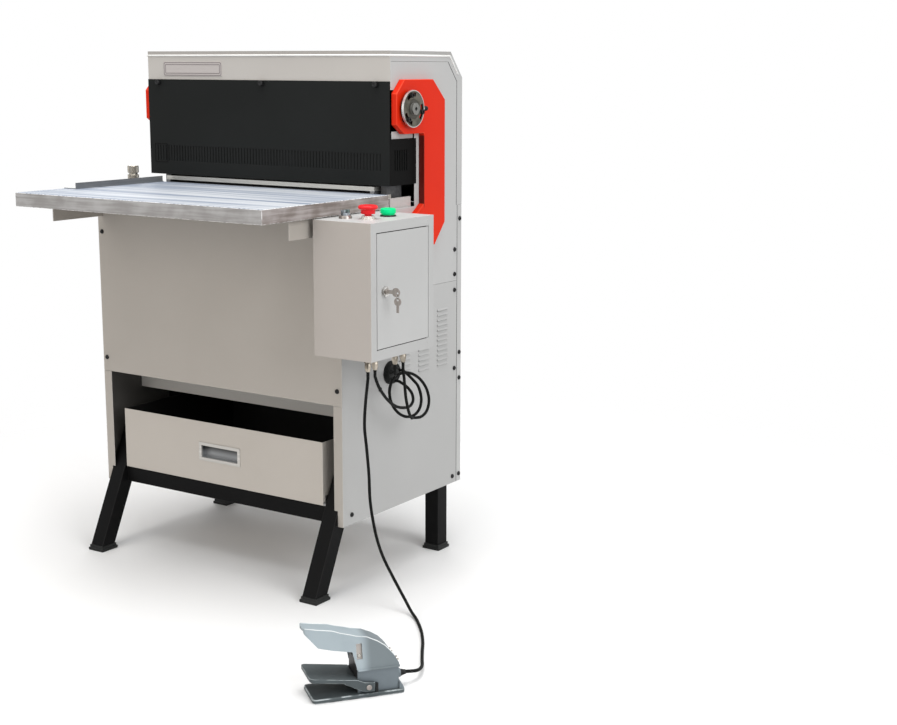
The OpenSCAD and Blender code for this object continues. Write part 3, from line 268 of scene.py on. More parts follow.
def tableSheet(place):
    # brushed stainless under a dull film: long pale streaks on the top, finer marks on the turned-down edges;
    # painted shade darkens the top's left end and the right end's edge
    up = axisOf(place, "Z") > tableTop - tableMarks["edge"]
    fine = noise(place, 120, 3, (0.015, 1, 1))
    broad = noise(place, 24, 4, (0.05, 1, 1))
    bright = ramp(0.45 * fine + 0.55 * broad, 0.43, 0.57)
    face = blendTones(bright, (0.225, 0.26, 0.325), (0.495, 0.515, 0.545))
    blotch = ramp(0.5 * noise(place, 18, 4) + 0.5 * noise(place, 150, 2, (0.05, 0.05, 1)), 0.38, 0.64)
    edge = blendTones(blotch, (0.315, 0.305, 0.30), (0.465, 0.46, 0.46))
    # painted shade: the right end's turned-down edge is darker and browner
    right = axisOf(place, "X") > middleX + tableMarks["shadedRightEnd"]
    edge = blendTones(right, edge, blendTones(blotch, (0.20, 0.17, 0.155), (0.385, 0.35, 0.34)))
    # painted shade: the top is darker towards its left end
    leftEndShade = 1 - ramp(axisOf(place, "X"), *(middleX + x for x in tableMarks["shadedLeftEnd"]))
    base = blendTones(up, edge, blendTones(leftEndShade * 0.45, face, (0.21, 0.245, 0.31)))
    # painted highlight with some wear: a broken near-white line along the rounded edges
    worn = edgeMask(place) * ramp(noise(place, 150, 2), 0.36, 0.56)
    return {"Base Color": blendTones(worn * 0.9, base, (0.93, 0.93, 0.93)),
            "Roughness": 0.56 + 0.14 * (broad - 0.5), "Normal": bumps(fine, 0.06, 0.0004)}


shaftAxis = (248, 1118)  # the main shaft runs across the machine
discCentre = at(409.5, *shaftAxis)
discMarks = {"rim": 41.2 * mm, "ballFrom": 46.5 * mm, "nose": 14.2 * mm, "outside": 396.1 * mm,
             "bevel": 1.0 * mm}


def discFace(place):
    # turned steel disc, oiled dark with a bright rim and its slot walls painted black as shade; its lever ends
    # in a black ball
    away = awayFrom(place, discCentre, (0, 1, 1))
    rings = place.make("ShaderNodeTexNoise", {"noise_dimensions": "1D"},
                       {"W": away, "Scale": 2600.0, "Detail": 2.0})
    stain = ramp(noise(place, 60, 4), 0.38, 0.66)
    face = blendTones(stain, (0.085, 0.078, 0.061), (0.15, 0.139, 0.113))
    rim = (away > discMarks["rim"]) * (away < discMarks["ballFrom"])
    base = blendTones(rim, face, (0.56, 0.56, 0.55))
    # painted shade: the slot walls are black
    slot = (1 - rim) * (axisOf(place, "X") < discCentre.x - discMarks["bevel"])
    base = blendTones(slot, base, (0.012, 0.011, 0.010))
    ball = away > discMarks["ballFrom"]
    return {"Base Color": blendTones(ball, base, (0.012, 0.012, 0.013)),
            "Roughness": 0.30 + 0.16 * stain - 0.06 * rim, "Metallic": 0.85 - 0.85 * ball,
            "Normal": bumps(rings, 0.10, 0.0003)}


def shaftTurning(place):
    # turned steel, with the hub around the bright nose outside the cheek painted dark as shade
    away = awayFrom(place, discCentre, (0, 1, 1))
    marks = noise(place, 220, 3, alongZ)
    steel = blendTones(ramp(marks, 0.36, 0.64), (0.15, 0.15, 0.138), (0.25, 0.25, 0.235))
    hubShade = (away > discMarks["nose"]) * (axisOf(place, "X") > middleX + discMarks["outside"])
    return {"Base Color": blendTones(hubShade, steel, (0.06, 0.056, 0.045)), "Roughness": 0.36 + 0.12 * marks,
            "Normal": bumps(marks, 0.06, 0.0003)}


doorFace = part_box("control_box")[1].x
# coat tones (tone, second tone, chip): grey is the real paint; the front panel, drawer, lid-front, box and
# header tones are lit and shaded copies of it, painted for how light falls on each face; inner and tray are
# painted shade
sheetPaint = {"grey": ((0.495, 0.495, 0.49), (0.473, 0.473, 0.468), (0.62, 0.62, 0.61)),
              "cream": ((0.44, 0.408, 0.371), (0.42, 0.388, 0.351), (0.62, 0.60, 0.56)),
              "drawer": ((0.52, 0.482, 0.438), (0.496, 0.458, 0.414), (0.66, 0.64, 0.60)),
              "shell": ((0.525, 0.502, 0.472), (0.505, 0.48, 0.45), (0.64, 0.62, 0.59)),
              "box": ((0.455, 0.418, 0.388), (0.435, 0.40, 0.37), (0.60, 0.58, 0.55)),
              "header": ((0.80, 0.775, 0.73), (0.76, 0.735, 0.69), (0.85, 0.83, 0.79)),
              "inner": (0.09, 0.086, 0.08), "tray": (0.012, 0.012, 0.012), "rim": (0.29, 0.275, 0.26)}
lidLineZ = 1240 * mm  # above it the lid's rim is a tone darker
coverSide = 379.2 * mm  # beyond it are the punch cover's ends
darkeningHeights = (0.1, 1.1)  # the sides are darker towards the floor


def litFrontCoat(front, depth):
    # one coat; the face towards the front gets a warmer lit copy of it, as painted light
    def build(place):
        grey, warm = (paint(*sheetPaint[tone], inner=sheetPaint["inner"])(place) for tone in ("grey", front))
        facing = axisOf(place, "Y") < frontY + depth * mm
        lowDarkening = (1 - ramp(axisOf(place, "Z"), *darkeningHeights)) * 0.17
        side = blendTones(lowDarkening, grey["Base Color"], sheetPaint["inner"])
        return {**grey, "Base Color": blendTones(facing, side, warm["Base Color"])}
    return build


def lidSheet(place):
    coat = litFrontCoat("shell", 195.8)(place)
    rim = axisOf(place, "Z") > lidLineZ
    return {**coat, "Base Color": blendTones(rim * 0.6, coat["Base Color"], sheetPaint["rim"])}


# the cheek's upright edge in the throat, painted dark as shade
throat = {"y": 310, "band": 1.3, "z": (880, 1058)}


def cheekSheet(place):
    coat = paint((0.71, 0.023, 0.003), (0.66, 0.019, 0.0028), (0.84, 0.09, 0.04), 0.42, 0.05, 0.4)(place)
    deep, height = axisOf(place, "Y"), axisOf(place, "Z")
    low, high = (z * mm for z in throat["z"])
    near, far = (frontY + (throat["y"] + side * throat["band"]) * mm for side in (-1, 1))
    edge = (deep < far) * (deep > near)
    throatShade = edge * ramp(height, low, low + 12 * mm) * (1 - ramp(height, high - 6 * mm, high))
    return {**coat, "Base Color": blendTones(throatShade * 0.9, coat["Base Color"], (0.05, 0.006, 0.004))}


def coverSheet(place):
    # dull black with a faint green cast; the two ends are painted blacker as shade
    coat = paint((0.0125, 0.0136, 0.0134), (0.0155, 0.0168, 0.0166), (0.035, 0.035, 0.035),
                 0.6, 0.2, 0.3)(place)
    across = axisOf(place, "X") - middleX
    end = across.maths("ABSOLUTE", across) > coverSide
    # painted shade on the cover's two ends
    return {**coat, "Base Color": blendTones(end, coat["Base Color"], (0.0022, 0.0022, 0.0022))}


def doorSheet(place):
    # grey paint, and bare chrome where the lock stands proud of the door
    coat = paint(*sheetPaint["grey"])(place)
    lock = axisOf(place, "X") > doorFace + 0.4 * mm
    chrome = blendTones(ramp(noise(place, 90, 3), 0.4, 0.62), (0.32, 0.30, 0.28), (0.74, 0.73, 0.71))
    return {**coat, "Base Color": blendTones(lock, coat["Base Color"], chrome), "Metallic": lock * 1.0,
            "Roughness": coat["Roughness"] - 0.2 * lock}


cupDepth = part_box("chip_drawer")[0].y
cupMiddle = sum(corner.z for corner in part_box("drawer_handle")) / 2


def handleSheet(place):
    # pressed bright flange; the cup behind it is dull, with painted shade darkest at its top
    cup = ramp(axisOf(place, "Y"), cupDepth - 1.2 * mm, cupDepth + 5 * mm)
    # painted shade in the cup, darkest at the top
    rise = ramp(axisOf(place, "Z"), cupMiddle - 9 * mm, cupMiddle + 10 * mm)
    inside = blendTones(rise, (0.30, 0.31, 0.32), (0.05, 0.05, 0.05))
    brushed = metal((0.62, 0.60, 0.57), (0.47, 0.455, 0.43), 0.36, alongX, 140, 0.05)(place)
    return {**brushed, "Base Color": blendTones(cup, brushed["Base Color"], inside)}


def gloss(level):
    return {"Specular IOR Level": level}


alongX, alongY, alongZ = (0.012, 1, 1), (1, 0.012, 1), (1, 1, 0.012)
dim, satin = gloss(0.2), gloss(0.32)
newFinish("shadedFrontPaint", paint(*sheetPaint["cream"], inner=sheetPaint["inner"]), **satin)
newFinish("greyPaint", paint(*sheetPaint["grey"], inner=sheetPaint["inner"]), **satin)
newFinish("sidePaint", litFrontCoat("cream", 0.8), **satin)
newFinish("lidPaint", lidSheet, **satin)
newFinish("boxPaint", litFrontCoat("box", -96.2), **satin)
newFinish("beadHighlightPaint", paint((0.92, 0.92, 0.90), (0.78, 0.78, 0.76), (0.95, 0.95, 0.94)), **satin)
newFinish("headerLitPaint", paint(*sheetPaint["header"], inner=sheetPaint["inner"]), **satin)
newFinish("drawerLitAndShadedPaint", paint(*sheetPaint["drawer"], inner=sheetPaint["tray"]), **satin)
newFinish("doorPaint", doorSheet, **satin)
newFinish("blackPaint", paint((0.0042, 0.0042, 0.0044), (0.0065, 0.0065, 0.0067), (0.035, 0.035, 0.035),
                              0.45, 0.16, 0.3), **gloss(0.06))
newFinish("coverPaint", coverSheet, **gloss(0.07))
newFinish("redPaint", cheekSheet, **gloss(0.14))
newFinish("motorPaint", paint((0.12, 0.15, 0.17), (0.1, 0.13, 0.15), (0.3, 0.32, 0.33), 0.4, 0.12))
newFinish("tableSteel", tableSheet, Metallic=0.08, **gloss(0.08))
newFinish("handleSteel", handleSheet, Metallic=0.4)
newFinish("brightSteel", metal((0.74, 0.73, 0.69), (0.56, 0.55, 0.51), 0.34, alongX, 160), Metallic=0.8)
newFinish("groundSteel", metal((0.40, 0.40, 0.40), (0.27, 0.27, 0.27), 0.42, alongX, 160), Metallic=1.0)
newFinish("formSteel", metal((0.15, 0.15, 0.155), (0.09, 0.09, 0.093), 0.5, alongX, 110), Metallic=0.8)
newFinish("guideSteel", metal((0.33, 0.335, 0.34), (0.21, 0.215, 0.22), 0.36, alongY, 120), Metallic=0.8)
newFinish("shaftSteel", shaftTurning, Metallic=0.6)
newFinish("toolSteel", metal((0.30, 0.30, 0.31), (0.2, 0.205, 0.21), 0.40, alongX, 120), Metallic=1.0)
newFinish("discSteel", discFace, **gloss(0.12))
newFinish("blackOxide", metal((0.020, 0.020, 0.021), (0.010, 0.010, 0.010), 0.42, alongX, 60, 0.1),
          Metallic=0.3, **dim)
newFinish("nickel", metal((0.70, 0.68, 0.63), (0.26, 0.24, 0.205), 0.24, alongZ, 45, 0.05), Metallic=0.9)
newFinish("knobSilver", metal((0.50, 0.55, 0.60), (0.06, 0.07, 0.085), 0.26, (1, 1, 0.3), 110, 0.04),
          Metallic=0.6)
newFinish("keyMetal", metal((0.40, 0.37, 0.345), (0.24, 0.215, 0.20), 0.34, alongZ, 90, 0.05), Metallic=0.7)
newFinish("bronze", metal((0.62, 0.42, 0.20), (0.48, 0.31, 0.14), 0.32, alongX, 120), Metallic=1.0)
newFinish("plate", metal((0.51, 0.475, 0.46), (0.475, 0.44, 0.425), 0.44, alongX, 140, 0.03), Metallic=0.1)
newFinish("plateInk", moulded((0.12, 0.10, 0.105), (0.16, 0.135, 0.14), 0.5))
newFinish("rubber", moulded((0.010, 0.0108, 0.0106), (0.019, 0.020, 0.0195), 0.52, 700, 0.08), **dim)
newFinish("cordRubber", moulded((0.006, 0.0066, 0.0064), (0.012, 0.0126, 0.0122), 0.6, 700, 0.08),
          **gloss(0.07))
newFinish("blackPlastic", moulded((0.012, 0.012, 0.013), (0.02, 0.02, 0.02), 0.42), **dim)
newFinish("whitePlastic", moulded((0.62, 0.61, 0.57), (0.56, 0.55, 0.5), 0.4))
newFinish("redPlastic", moulded((0.77, 0.018, 0.022), (0.68, 0.014, 0.018), 0.30, 1200, 0.03), **dim)
newFinish("greenPlastic", moulded((0.0015, 0.72, 0.25), (0.0015, 0.62, 0.21), 0.36, 1200, 0.03), **gloss(0.12))
newFinish("hoodAlloy", hoodCasting, **dim)
newFinish("castAlloy", casting((0.165, 0.195, 0.215), (0.135, 0.16, 0.178), (0.34, 0.37, 0.39), 0.5), **dim)
# painted shade: a darker copy of the cast alloy for the pedal's base and tongue
newFinish("treadShadedAlloy", casting((0.085, 0.101, 0.106), (0.064, 0.077, 0.082), (0.44, 0.48, 0.49), 0.75), **dim)
newFinish("wornAndHighlightAlloy", casting((0.74, 0.77, 0.77), (0.42, 0.47, 0.49), (0.9, 0.9, 0.9), 0.8), **dim)
newFinish("glandMetal", metal((0.47, 0.42, 0.35), (0.07, 0.06, 0.045), 0.28, (1, 1, 0.25), 130, 0.05),
          Metallic=0.8)
print("finishes made:", len(finishes))


def addPiece(name, mesh, finish, body, replaced=()):
    obj = bpy.data.objects.new(name, mesh)
    bpy.context.scene.collection.objects.link(obj)
    obj.data.materials.append(finishes[finish])
    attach(obj, body)
    if replaced:
        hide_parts(*replaced)
    return obj


# Cords: the routes of the source, straight at both ends and smooth in between
cableDiameter = 7 * mm
routeSteps = 8


def splineAt(a, b, c, d, t):
    return b + 0.5 * t * (c - a + t * (2 * a - 5 * b + 4 * c - d + t * (3 * (b - c) + d - a)))


def smoothRoute(points):
    inner = points[1:-1]
    last = len(inner) - 1
    middle = [splineAt(inner[max(i - 1, 0)], inner[i], inner[i + 1], inner[min(i + 2, last)], k / routeSteps)
              for i in range(last) for k in range(routeSteps)]
    return [points[0], *middle, inner[-1], points[-1]]


def layCord(node, points):
    path = smoothRoute([at(*p) for p in points])
    curve = bpy.data.curves.new(node + "Cord", "CURVE")
    curve.dimensions = "3D"
    curve.bevel_depth = cableDiameter / 2
    curve.bevel_resolution = 5
    curve.use_fill_caps = True
    spline = curve.splines.new("POLY")
    spline.points.add(len(path) - 1)
    for spot, place in zip(spline.points, path):
        spot.co = (*place, 1)
    spline.use_smooth = True
    obj = addPiece(node + "Cord", curve, "cordRubber", "frame", (node,))
    measured = sum((b - a).length for a, b in zip(path, path[1:]))
    print(node, "is", round(measured, 4), "m along its route")
    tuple(path[0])


pedalLead = {"length": 0.99, "lay": "loose", "points": [
    (500, -62, 558), (500, -62, 543), (498, -69, 490), (497, -72, 438), (501, -70, 386), (502, -64, 328),
    (503, -62, 272), (502, -51, 222), (504, -38, 172), (511, -23, 124), (530, -8, 72), (562, -9, 28),
    (585, -20, 11), (611, -38, 4.5), (642, -70, 4.5), (672, -105, 4.5), (702, -146, 4.5), (728, -186, 4.5),
    (752, -222, 5), (774, -254, 8), (789, -283, 14), (795.65, -308, 20), (790.27, -333.96, 26),
    (781.65, -345, 26)]}
dripLead = {"length": 0.361, "lay": "hanging", "points": [
    (500, -36, 558), (500, -36, 544), (495, -12, 512), (486, 32, 476), (475, 80, 451), (463, 130, 437),
    (453, 168, 433), (446, 190, 442), (438, 195, 458), (426, 190, 473), (412, 184, 483), (402, 184, 484),
    (394, 184, 484)]}
shortLead = {"length": 0.198, "lay": "hanging", "points": [
    (500, 40, 558), (500, 40, 544), (491, 54, 532), (468, 84, 526), (445, 120, 523), (428, 150, 517),
    (415, 169, 510), (402, 176, 506), (394, 176, 506)]}
loopLead = {"length": 0.734, "lay": "hanging", "centre": (466, 162, 460), "radius": 58, "rise": 53, "sag": 18,
            "lean": 11, "advance": -22, "end": 480, "step": 30,
            "lead": [(500, 72, 558), (500, 72, 544), (498, 80, 512), (491, 96, 470), (482, 120, 432),
                     (473, 144, 412)],
            "tail": [(439, 200, 488), (429, 194, 500), (414, 197, 507), (402, 200, 508), (394, 200, 508)]}


def loopTurns():
    x, y, z = loopLead["centre"]
    lean = math.radians(loopLead["lean"])
    turns = []
    for degrees in range(0, loopLead["end"] + 1, loopLead["step"]):
        a = math.radians(degrees)
        out = loopLead["radius"] * math.sin(a)
        turns.append((x + loopLead["advance"] * degrees / 360 + out * math.sin(lean), y + out * math.cos(lean),
                      z - loopLead["rise"] * math.cos(a) - loopLead["sag"] * math.sin(a)))
    return turns


for cableNode, lead in (("pedal_cord", pedalLead), ("drip_cable", dripLead), ("short_cable", shortLead)):
    layCord(cableNode, lead["points"])
layCord("loop_cable", loopLead["lead"] + loopTurns() + loopLead["tail"])
print("cords laid")


# Rounded copies of sheet and solid nodes, so that their edges catch the light
rounding = {"sharp": math.radians(32), "flat": math.radians(0.6), "weld": 0.004 * mm, "segments": 2,
            "weight": 80}


def roundedCopy(node, finish, radius, inside=None):
    mesh = nodes[node].data.copy()
    mesh.name = node + "Skin"
    bm = bmesh.new()
    bm.from_mesh(mesh)
    bmesh.ops.remove_doubles(bm, verts=bm.verts, dist=rounding["weld"])
    bmesh.ops.dissolve_limit(bm, angle_limit=rounding["flat"], verts=bm.verts, edges=bm.edges)
    sharp = [e for e in bm.edges if len(e.link_faces) == 2 and e.calc_face_angle(0) > rounding["sharp"]]
    edge, hidden = (bm.faces.layers.float.new(layer) for layer in ("edge", "inside"))
    made = bmesh.ops.bevel(bm, geom=sharp, offset=radius * mm, offset_type="OFFSET", profile=0.5,
                           segments=rounding["segments"], affect="EDGES", clamp_overlap=True)
    edge, hidden = (bm.faces.layers.float[layer] for layer in ("edge", "inside"))
    for face in made["faces"]:
        face[edge] = 1.0
    for face in bm.faces:
        face.smooth = True
        if inside and inside(*(unMachine @ face.calc_center_median())):
            face[hidden] = 1.0
    bm.to_mesh(mesh)
    bm.free()
    mesh.materials.clear()
    obj = addPiece(node + "Skin", mesh, finish, bodyOf[node], (node,))
    obj.modifiers.new("flatFaces", "WEIGHTED_NORMAL").weight = rounding["weight"]


insideX = 379  # the sheets' inner faces lie nearer the middle than this


def inCover(x, y, z):
    return abs(x) < insideX and 1 < y < 499


def inHead(x, y, z):
    return abs(x) < insideX and y > 196


def underLid(x, y, z):  # below the lid's top and its rear slope
    return inHead(x, y, z) and y < 499 and z < 1249 and 0.766 * y + 0.643 * z < 1145.9


insideTests = {  # faces that look into the machine, by their middle in millimetres; paint gives them painted shade
    "chip_drawer": lambda x, y, z: abs(x) < 317 and 6 < y < 416 and z > 215,
    "front_panel": lambda x, y, z: y > 1, "drawer_header": lambda x, y, z: y > 129,
    "left_side_cover": inCover, "right_side_cover": inCover, "left_head_panel": inHead,
    "right_head_panel": inHead, "top_cover": underLid,
}
skins = {  # node: finish, slot, edge radius in mm
    "stand_rails": ("blackPaint", "black_paint", 2.0), "stand_legs": ("blackPaint", "black_paint", 1.2),
    "leg_shoes": ("rubber", "rubber", 2.0), "left_side_cover": ("sidePaint", "grey_paint", 0.6),
    "right_side_cover": ("sidePaint", "grey_paint", 0.6), "left_head_panel": ("greyPaint", "grey_paint", 0.7),
    "right_head_panel": ("greyPaint", "grey_paint", 0.7), "front_panel": ("shadedFrontPaint", "cream_paint", 0.7),
    "rear_panel": ("greyPaint", "grey_paint", 0.8), "top_cover": ("lidPaint", "cream_paint", 0.9),
    "drawer_header": ("headerLitPaint", "cream_paint", 0.7), "left_cheek_plate": ("redPaint", "red_paint", 1.6),
    "right_cheek_plate": ("redPaint", "red_paint", 1.6), "punch_cover": ("coverPaint", "black_paint", 0.5),
    "work_table": ("tableSteel", "stainless", 0.8), "table_arms": ("shadedFrontPaint", "cream_paint", 0.6),
    "side_guide": ("guideSteel", "stainless", 0.5), "control_box": ("boxPaint", "grey_paint", 0.7),
    "control_door": ("doorPaint", "grey_paint", 0.7), "chip_drawer": ("drawerLitAndShadedPaint", "cream_paint", 0.7),
    "drawer_handle": ("handleSteel", "nickel", 0.7), "adjusting_disc": ("discSteel", "steel", 0.8),
    "main_shaft": ("shaftSteel", "steel", 0.9), "selector_knob": ("knobSilver", "nickel", 0.9),
    "pedal_base": ("treadShadedAlloy", "cast_alloy", 2.2), "pedal_housing": ("castAlloy", "cast_alloy", 1.6),
    "pedal_hood": ("hoodAlloy", "cast_alloy", 2.2), "pedal_tongue": ("treadShadedAlloy", "cast_alloy", 2.0),
    "stripper_plate": ("brightSteel", "steel", 0.4), "die_plate": ("toolSteel", "tool_steel", 0.4),
    "name_plate": ("plate", "plate", 0.4), "lock_key": ("keyMetal", "nickel", 0.25),
}
for skinNode, (finish, slot, radius) in skins.items():
    roundedCopy(skinNode, finish, radius, insideTests.get(skinNode))
print("rounded copies:", len(skins))


# Turned pieces: rings of (shape, radius, height) along an axis
knurlDepth = 0.55


def rounds(*pairs):
    return [("round", *pair) for pair in pairs]


def hexes(*pairs):
    return [("hex", *pair) for pair in pairs]


def knurls(*pairs):
    return [("knurl", *pair) for pair in pairs]


def facing(spot, axis, within=machine):
    return within @ Matrix.Translation(spot) @ Vector(axis).to_track_quat("Z", "Y").to_matrix().to_4x4()


def ringLoop(bm, place, shape, radius, height, count):
    if radius == 0:
        return [bm.verts.new(place @ Vector((0, 0, height)))]
    loop = []
    for i in range(count):
        reach = radius
        if shape == "hex":
            reach = radius / math.cos(math.radians((360 * i / count) % 60 - 30))
        elif shape == "knurl" and i % 2:
            reach = radius - knurlDepth
        a = 2 * math.pi * i / count
        loop.append(bm.verts.new(place @ Vector((reach * math.cos(a), reach * math.sin(a), height))))
    return loop


def bridge(bm, first, second):
    if len(first) == 1 or len(second) == 1:
        tip, loop = (first[0], second) if len(first) == 1 else (second[0], first)
        for i, vert in enumerate(loop):
            bm.faces.new((tip, vert, loop[(i + 1) % len(loop)]))
        return
    for i in range(len(first)):
        j = (i + 1) % len(first)
        bm.faces.new((first[i], first[j], second[j], second[i]))


def finishMesh(name, bm, sharp=34):
    bmesh.ops.recalc_face_normals(bm, faces=bm.faces)
    for face in bm.faces:
        face.smooth = True
    mesh = bpy.data.meshes.new(name)
    bm.to_mesh(mesh)
    bm.free()
    mesh.set_sharp_from_angle(angle=math.radians(sharp))
    return mesh


def turned(name, rings, places, finish, body, replaced=(), count=48, closed=False):
    bm = bmesh.new()
    for place in places:
        loops = [ringLoop(bm, place, *ring, count) for ring in rings]
        for first, second in zip(loops, loops[1:]):
            bridge(bm, first, second)
        if closed:
            bridge(bm, loops[-1], loops[0])
        else:
            for loop in (loops[0], loops[-1]):
                if len(loop) > 1:
                    bm.faces.new(loop)
    addPiece(name, finishMesh(name, bm), finish, body, replaced)


def slabs(name, items, finish, body, within=machine):
    # flat pieces: an outline and the direction that it is thick in; a second outline is a hole
    bm = bmesh.new()
    for outlines, thick in items:
        push = Vector(thick)
        loops = [[[bm.verts.new(within @ (Vector(p) + shift)) for p in outline] for shift in (Vector(), push)]
                 for outline in outlines]
        for near, far in loops:
            bridge(bm, near, far)
        if len(loops) == 2:
            for side in (0, 1):
                bridge(bm, loops[0][side], loops[1][side])
        else:
            bm.faces.new(loops[0][0])
            bm.faces.new(loops[0][1])
    addPiece(name, finishMesh(name, bm), finish, body)


def roundedOutline(a0, a1, b0, b1, radius, steps=5):
    corners = ((a1 - radius, b1 - radius, 0), (a0 + radius, b1 - radius, 90),
               (a0 + radius, b0 + radius, 180), (a1 - radius, b0 + radius, 270))
    return [(a + radius * math.cos(math.radians(turn + 90 * k / steps)),
             b + radius * math.sin(math.radians(turn + 90 * k / steps)))
            for a, b, turn in corners for k in range(steps + 1)]


def grown(edges, by):
    a0, a1, b0, b1 = edges
    return a0 - by, a1 + by, b0 - by, b1 + by


def block(x, y, z):  # a box, as a slab that is thick along the first axis
    (y0, y1), (z0, z1) = y, z
    return [[(x[0], *spot) for spot in ((y0, z0), (y1, z0), (y1, z1), (y0, z1))]], (x[1] - x[0], 0, 0)


def bothEnds(x, y, z):  # the same box at the machine's left and right
    return [block((side * x[0], side * x[1]), y, z) for side in (-1, 1)]


# Screws: round heads with hexagon sockets
panelScrew = {"sides": [(468, 767), (468, 705), (468, 665), (468, 465), (148, 467), (33, 189), (461, 183),
                        (490.5, 843), (490.5, 503), (490.5, 437), (490.5, 184)],
              "front": [(-367, 487), (367, 487), (-367, 807), (367, 807)], "sideX": 380}
socketHead = (rounds((5.6, 0), (5.6, 1.2), (5.3, 2.2), (4.5, 3.2), (3.4, 3.8), (2.5, 4))
              + hexes((1.7, 3.9), (1.7, 2.1)) + rounds((0, 1.8)))
screwPlaces = [facing((side * panelScrew["sideX"], y, z), (side, 0, 0))
               for side in (-1, 1) for y, z in panelScrew["sides"]]
screwPlaces += [facing((x, 0, z), (0, -1, 0)) for x, z in panelScrew["front"]]
turned("panelScrews", socketHead, screwPlaces, "blackOxide", "frame", ("panel_screws",), 24)

discScrew = {"angles": (107, 227, 347), "radius": 33.11, "seat": 409.8}
capHead = (rounds((6, -13.8), (6, -5.6), (4.2, -5.6), (4.2, 0), (6, 0)) + knurls((6, 0.3), (6, 4.2))
           + rounds((5.2, 5)) + hexes((2.5, 5), (2.5, 2.2)) + rounds((0, 1.8)))
discPlaces = [facing((discScrew["seat"], shaftAxis[0] + discScrew["radius"] * math.cos(math.radians(a)),
                      shaftAxis[1] + discScrew["radius"] * math.sin(math.radians(a))), (1, 0, 0))
              for a in discScrew["angles"]]
turned("discScrews", capHead, discPlaces, "blackOxide", "frame", ("disc_screws",), 48)
shaftPlace = [facing((0, *shaftAxis), (1, 0, 0))]  # heights along it are the machine's X
# painted shade: a black ring on the cheek behind the disc, seen through its slots and past its rim
discShadeRing = rounds((35, 396), (35, 396.4), (28.4, 396.4), (28.4, 396))
turned("discShadeRing", discShadeRing, shaftPlace, "blackPlastic", "frame", count=64, closed=True)
noseBolt = (rounds((4.4, 409.8), (4.4, 413.4), (3.8, 414)) + hexes((2.0, 414), (2.0, 411.6))
            + rounds((0, 411.2)))
turned("noseBolt", noseBolt, shaftPlace, "blackOxide", "shaft", count=36)

# Knurled knobs
coverKnob = {"x": (-342, 0, 342), "y": 193, "z": 1173.5}
thumbHead = (rounds((2.5, -4), (2.5, 0), (6.2, 0)) + knurls((6.95, 0.7), (6.95, 8.6))
             + rounds((6.0, 9.6), (3.4, 9.9), (2.9, 9.2), (0, 9.2)))
thumbPlaces = [facing((x, coverKnob["y"], coverKnob["z"]), (0, -1, 0)) for x in coverKnob["x"]]
turned("coverKnobs", thumbHead, thumbPlaces, "blackOxide", "frame", ("cover_knobs",), 72)
guideKnob = {"spot": (-352, 100, 924.3)}
knobTiers = (rounds((3.2, 0), (9.4, 0), (10, 0.6), (10, 4), (12.6, 4)) + knurls((14, 5), (14, 19))
             + rounds((12.8, 20), (11, 20), (11, 24), (12.8, 24)) + knurls((14, 25), (14, 40.6))
             + rounds((12.4, 42), (5, 42), (4.2, 41.2), (0, 41.2)))
turned("guideKnobTiers", knobTiers, [facing(guideKnob["spot"], (0, 0, 1))], "nickel", "guide_nut",
       ("guide_knob",), 96)
print("screws and knobs turned")

# Switches on the control box
switches = {"top": 888, "stop": (471, -18), "start": (471, 57), "selector": (422, -35)}


def onBox(switch):
    return [facing((*switches[switch], switches["top"]), (0, 0, 1))]


stopCollar = (rounds((18.5, 0), (18.5, 1.2)) + knurls((15, 1.8), (15, 5.8))
              + rounds((13.8, 7), (8.3, 7), (8.3, 0)))
turned("stopCollar", stopCollar, onBox("stop"), "brightSteel", "frame", ("switch_bezels",), 40, True)
startBezel = rounds((18, 0), (18, 2), (17.2, 3.3), (15.3, 3.5), (15.3, 0))
turned("startBezel", startBezel, onBox("start"), "blackPlastic", "frame", (), 64, True)
selectorBezel = (rounds((14.5, 0)) + knurls((14.5, 0.8), (14.5, 4.4))
                 + rounds((13, 6.4), (11.4, 7), (10.3, 7), (10.3, 0)))
turned("selectorBezel", selectorBezel, onBox("selector"), "keyMetal", "frame", (), 56, True)
mushroom = rounds((8, 4.5), (8, 12.2), (14.9, 11.5), (15.5, 12), (15.7, 15), (16, 18.3), (16.9, 20.4),
                  (19.5, 21.8), (21.2, 22.9), (21.9, 24.2), (22, 25.8), (21.5, 27.6), (20, 29.3), (17, 30.5),
                  (11, 31.2), (0, 31.5))
turned("stopMushroom", mushroom, onBox("stop"), "redPlastic", "stop_button",
       ("emergency_button",), 72)
startCap = rounds((14.9, 3.3), (14.9, 6.8), (17.0, 6.8), (17.5, 7.4), (17.5, 14.4), (17.1, 16.2), (16.0, 17.4),
                  (14.4, 17.9), (13.4, 17.4), (7, 17.1), (0, 17))
turned("startCap", startCap, onBox("start"), "greenPlastic", "start_button_cap",
       ("start_button",), 72)
pointer = {"x": (-0.8, 0.8), "y": (-11.4, 3), "z": (907, 907.25)}
pointerX, pointerY = ([middle + d for d in pointer[k]] for middle, k in zip(switches["selector"], "xy"))
slabs("selectorPointer", [block(pointerX, pointerY, pointer["z"])], "blackPlastic", "selector")

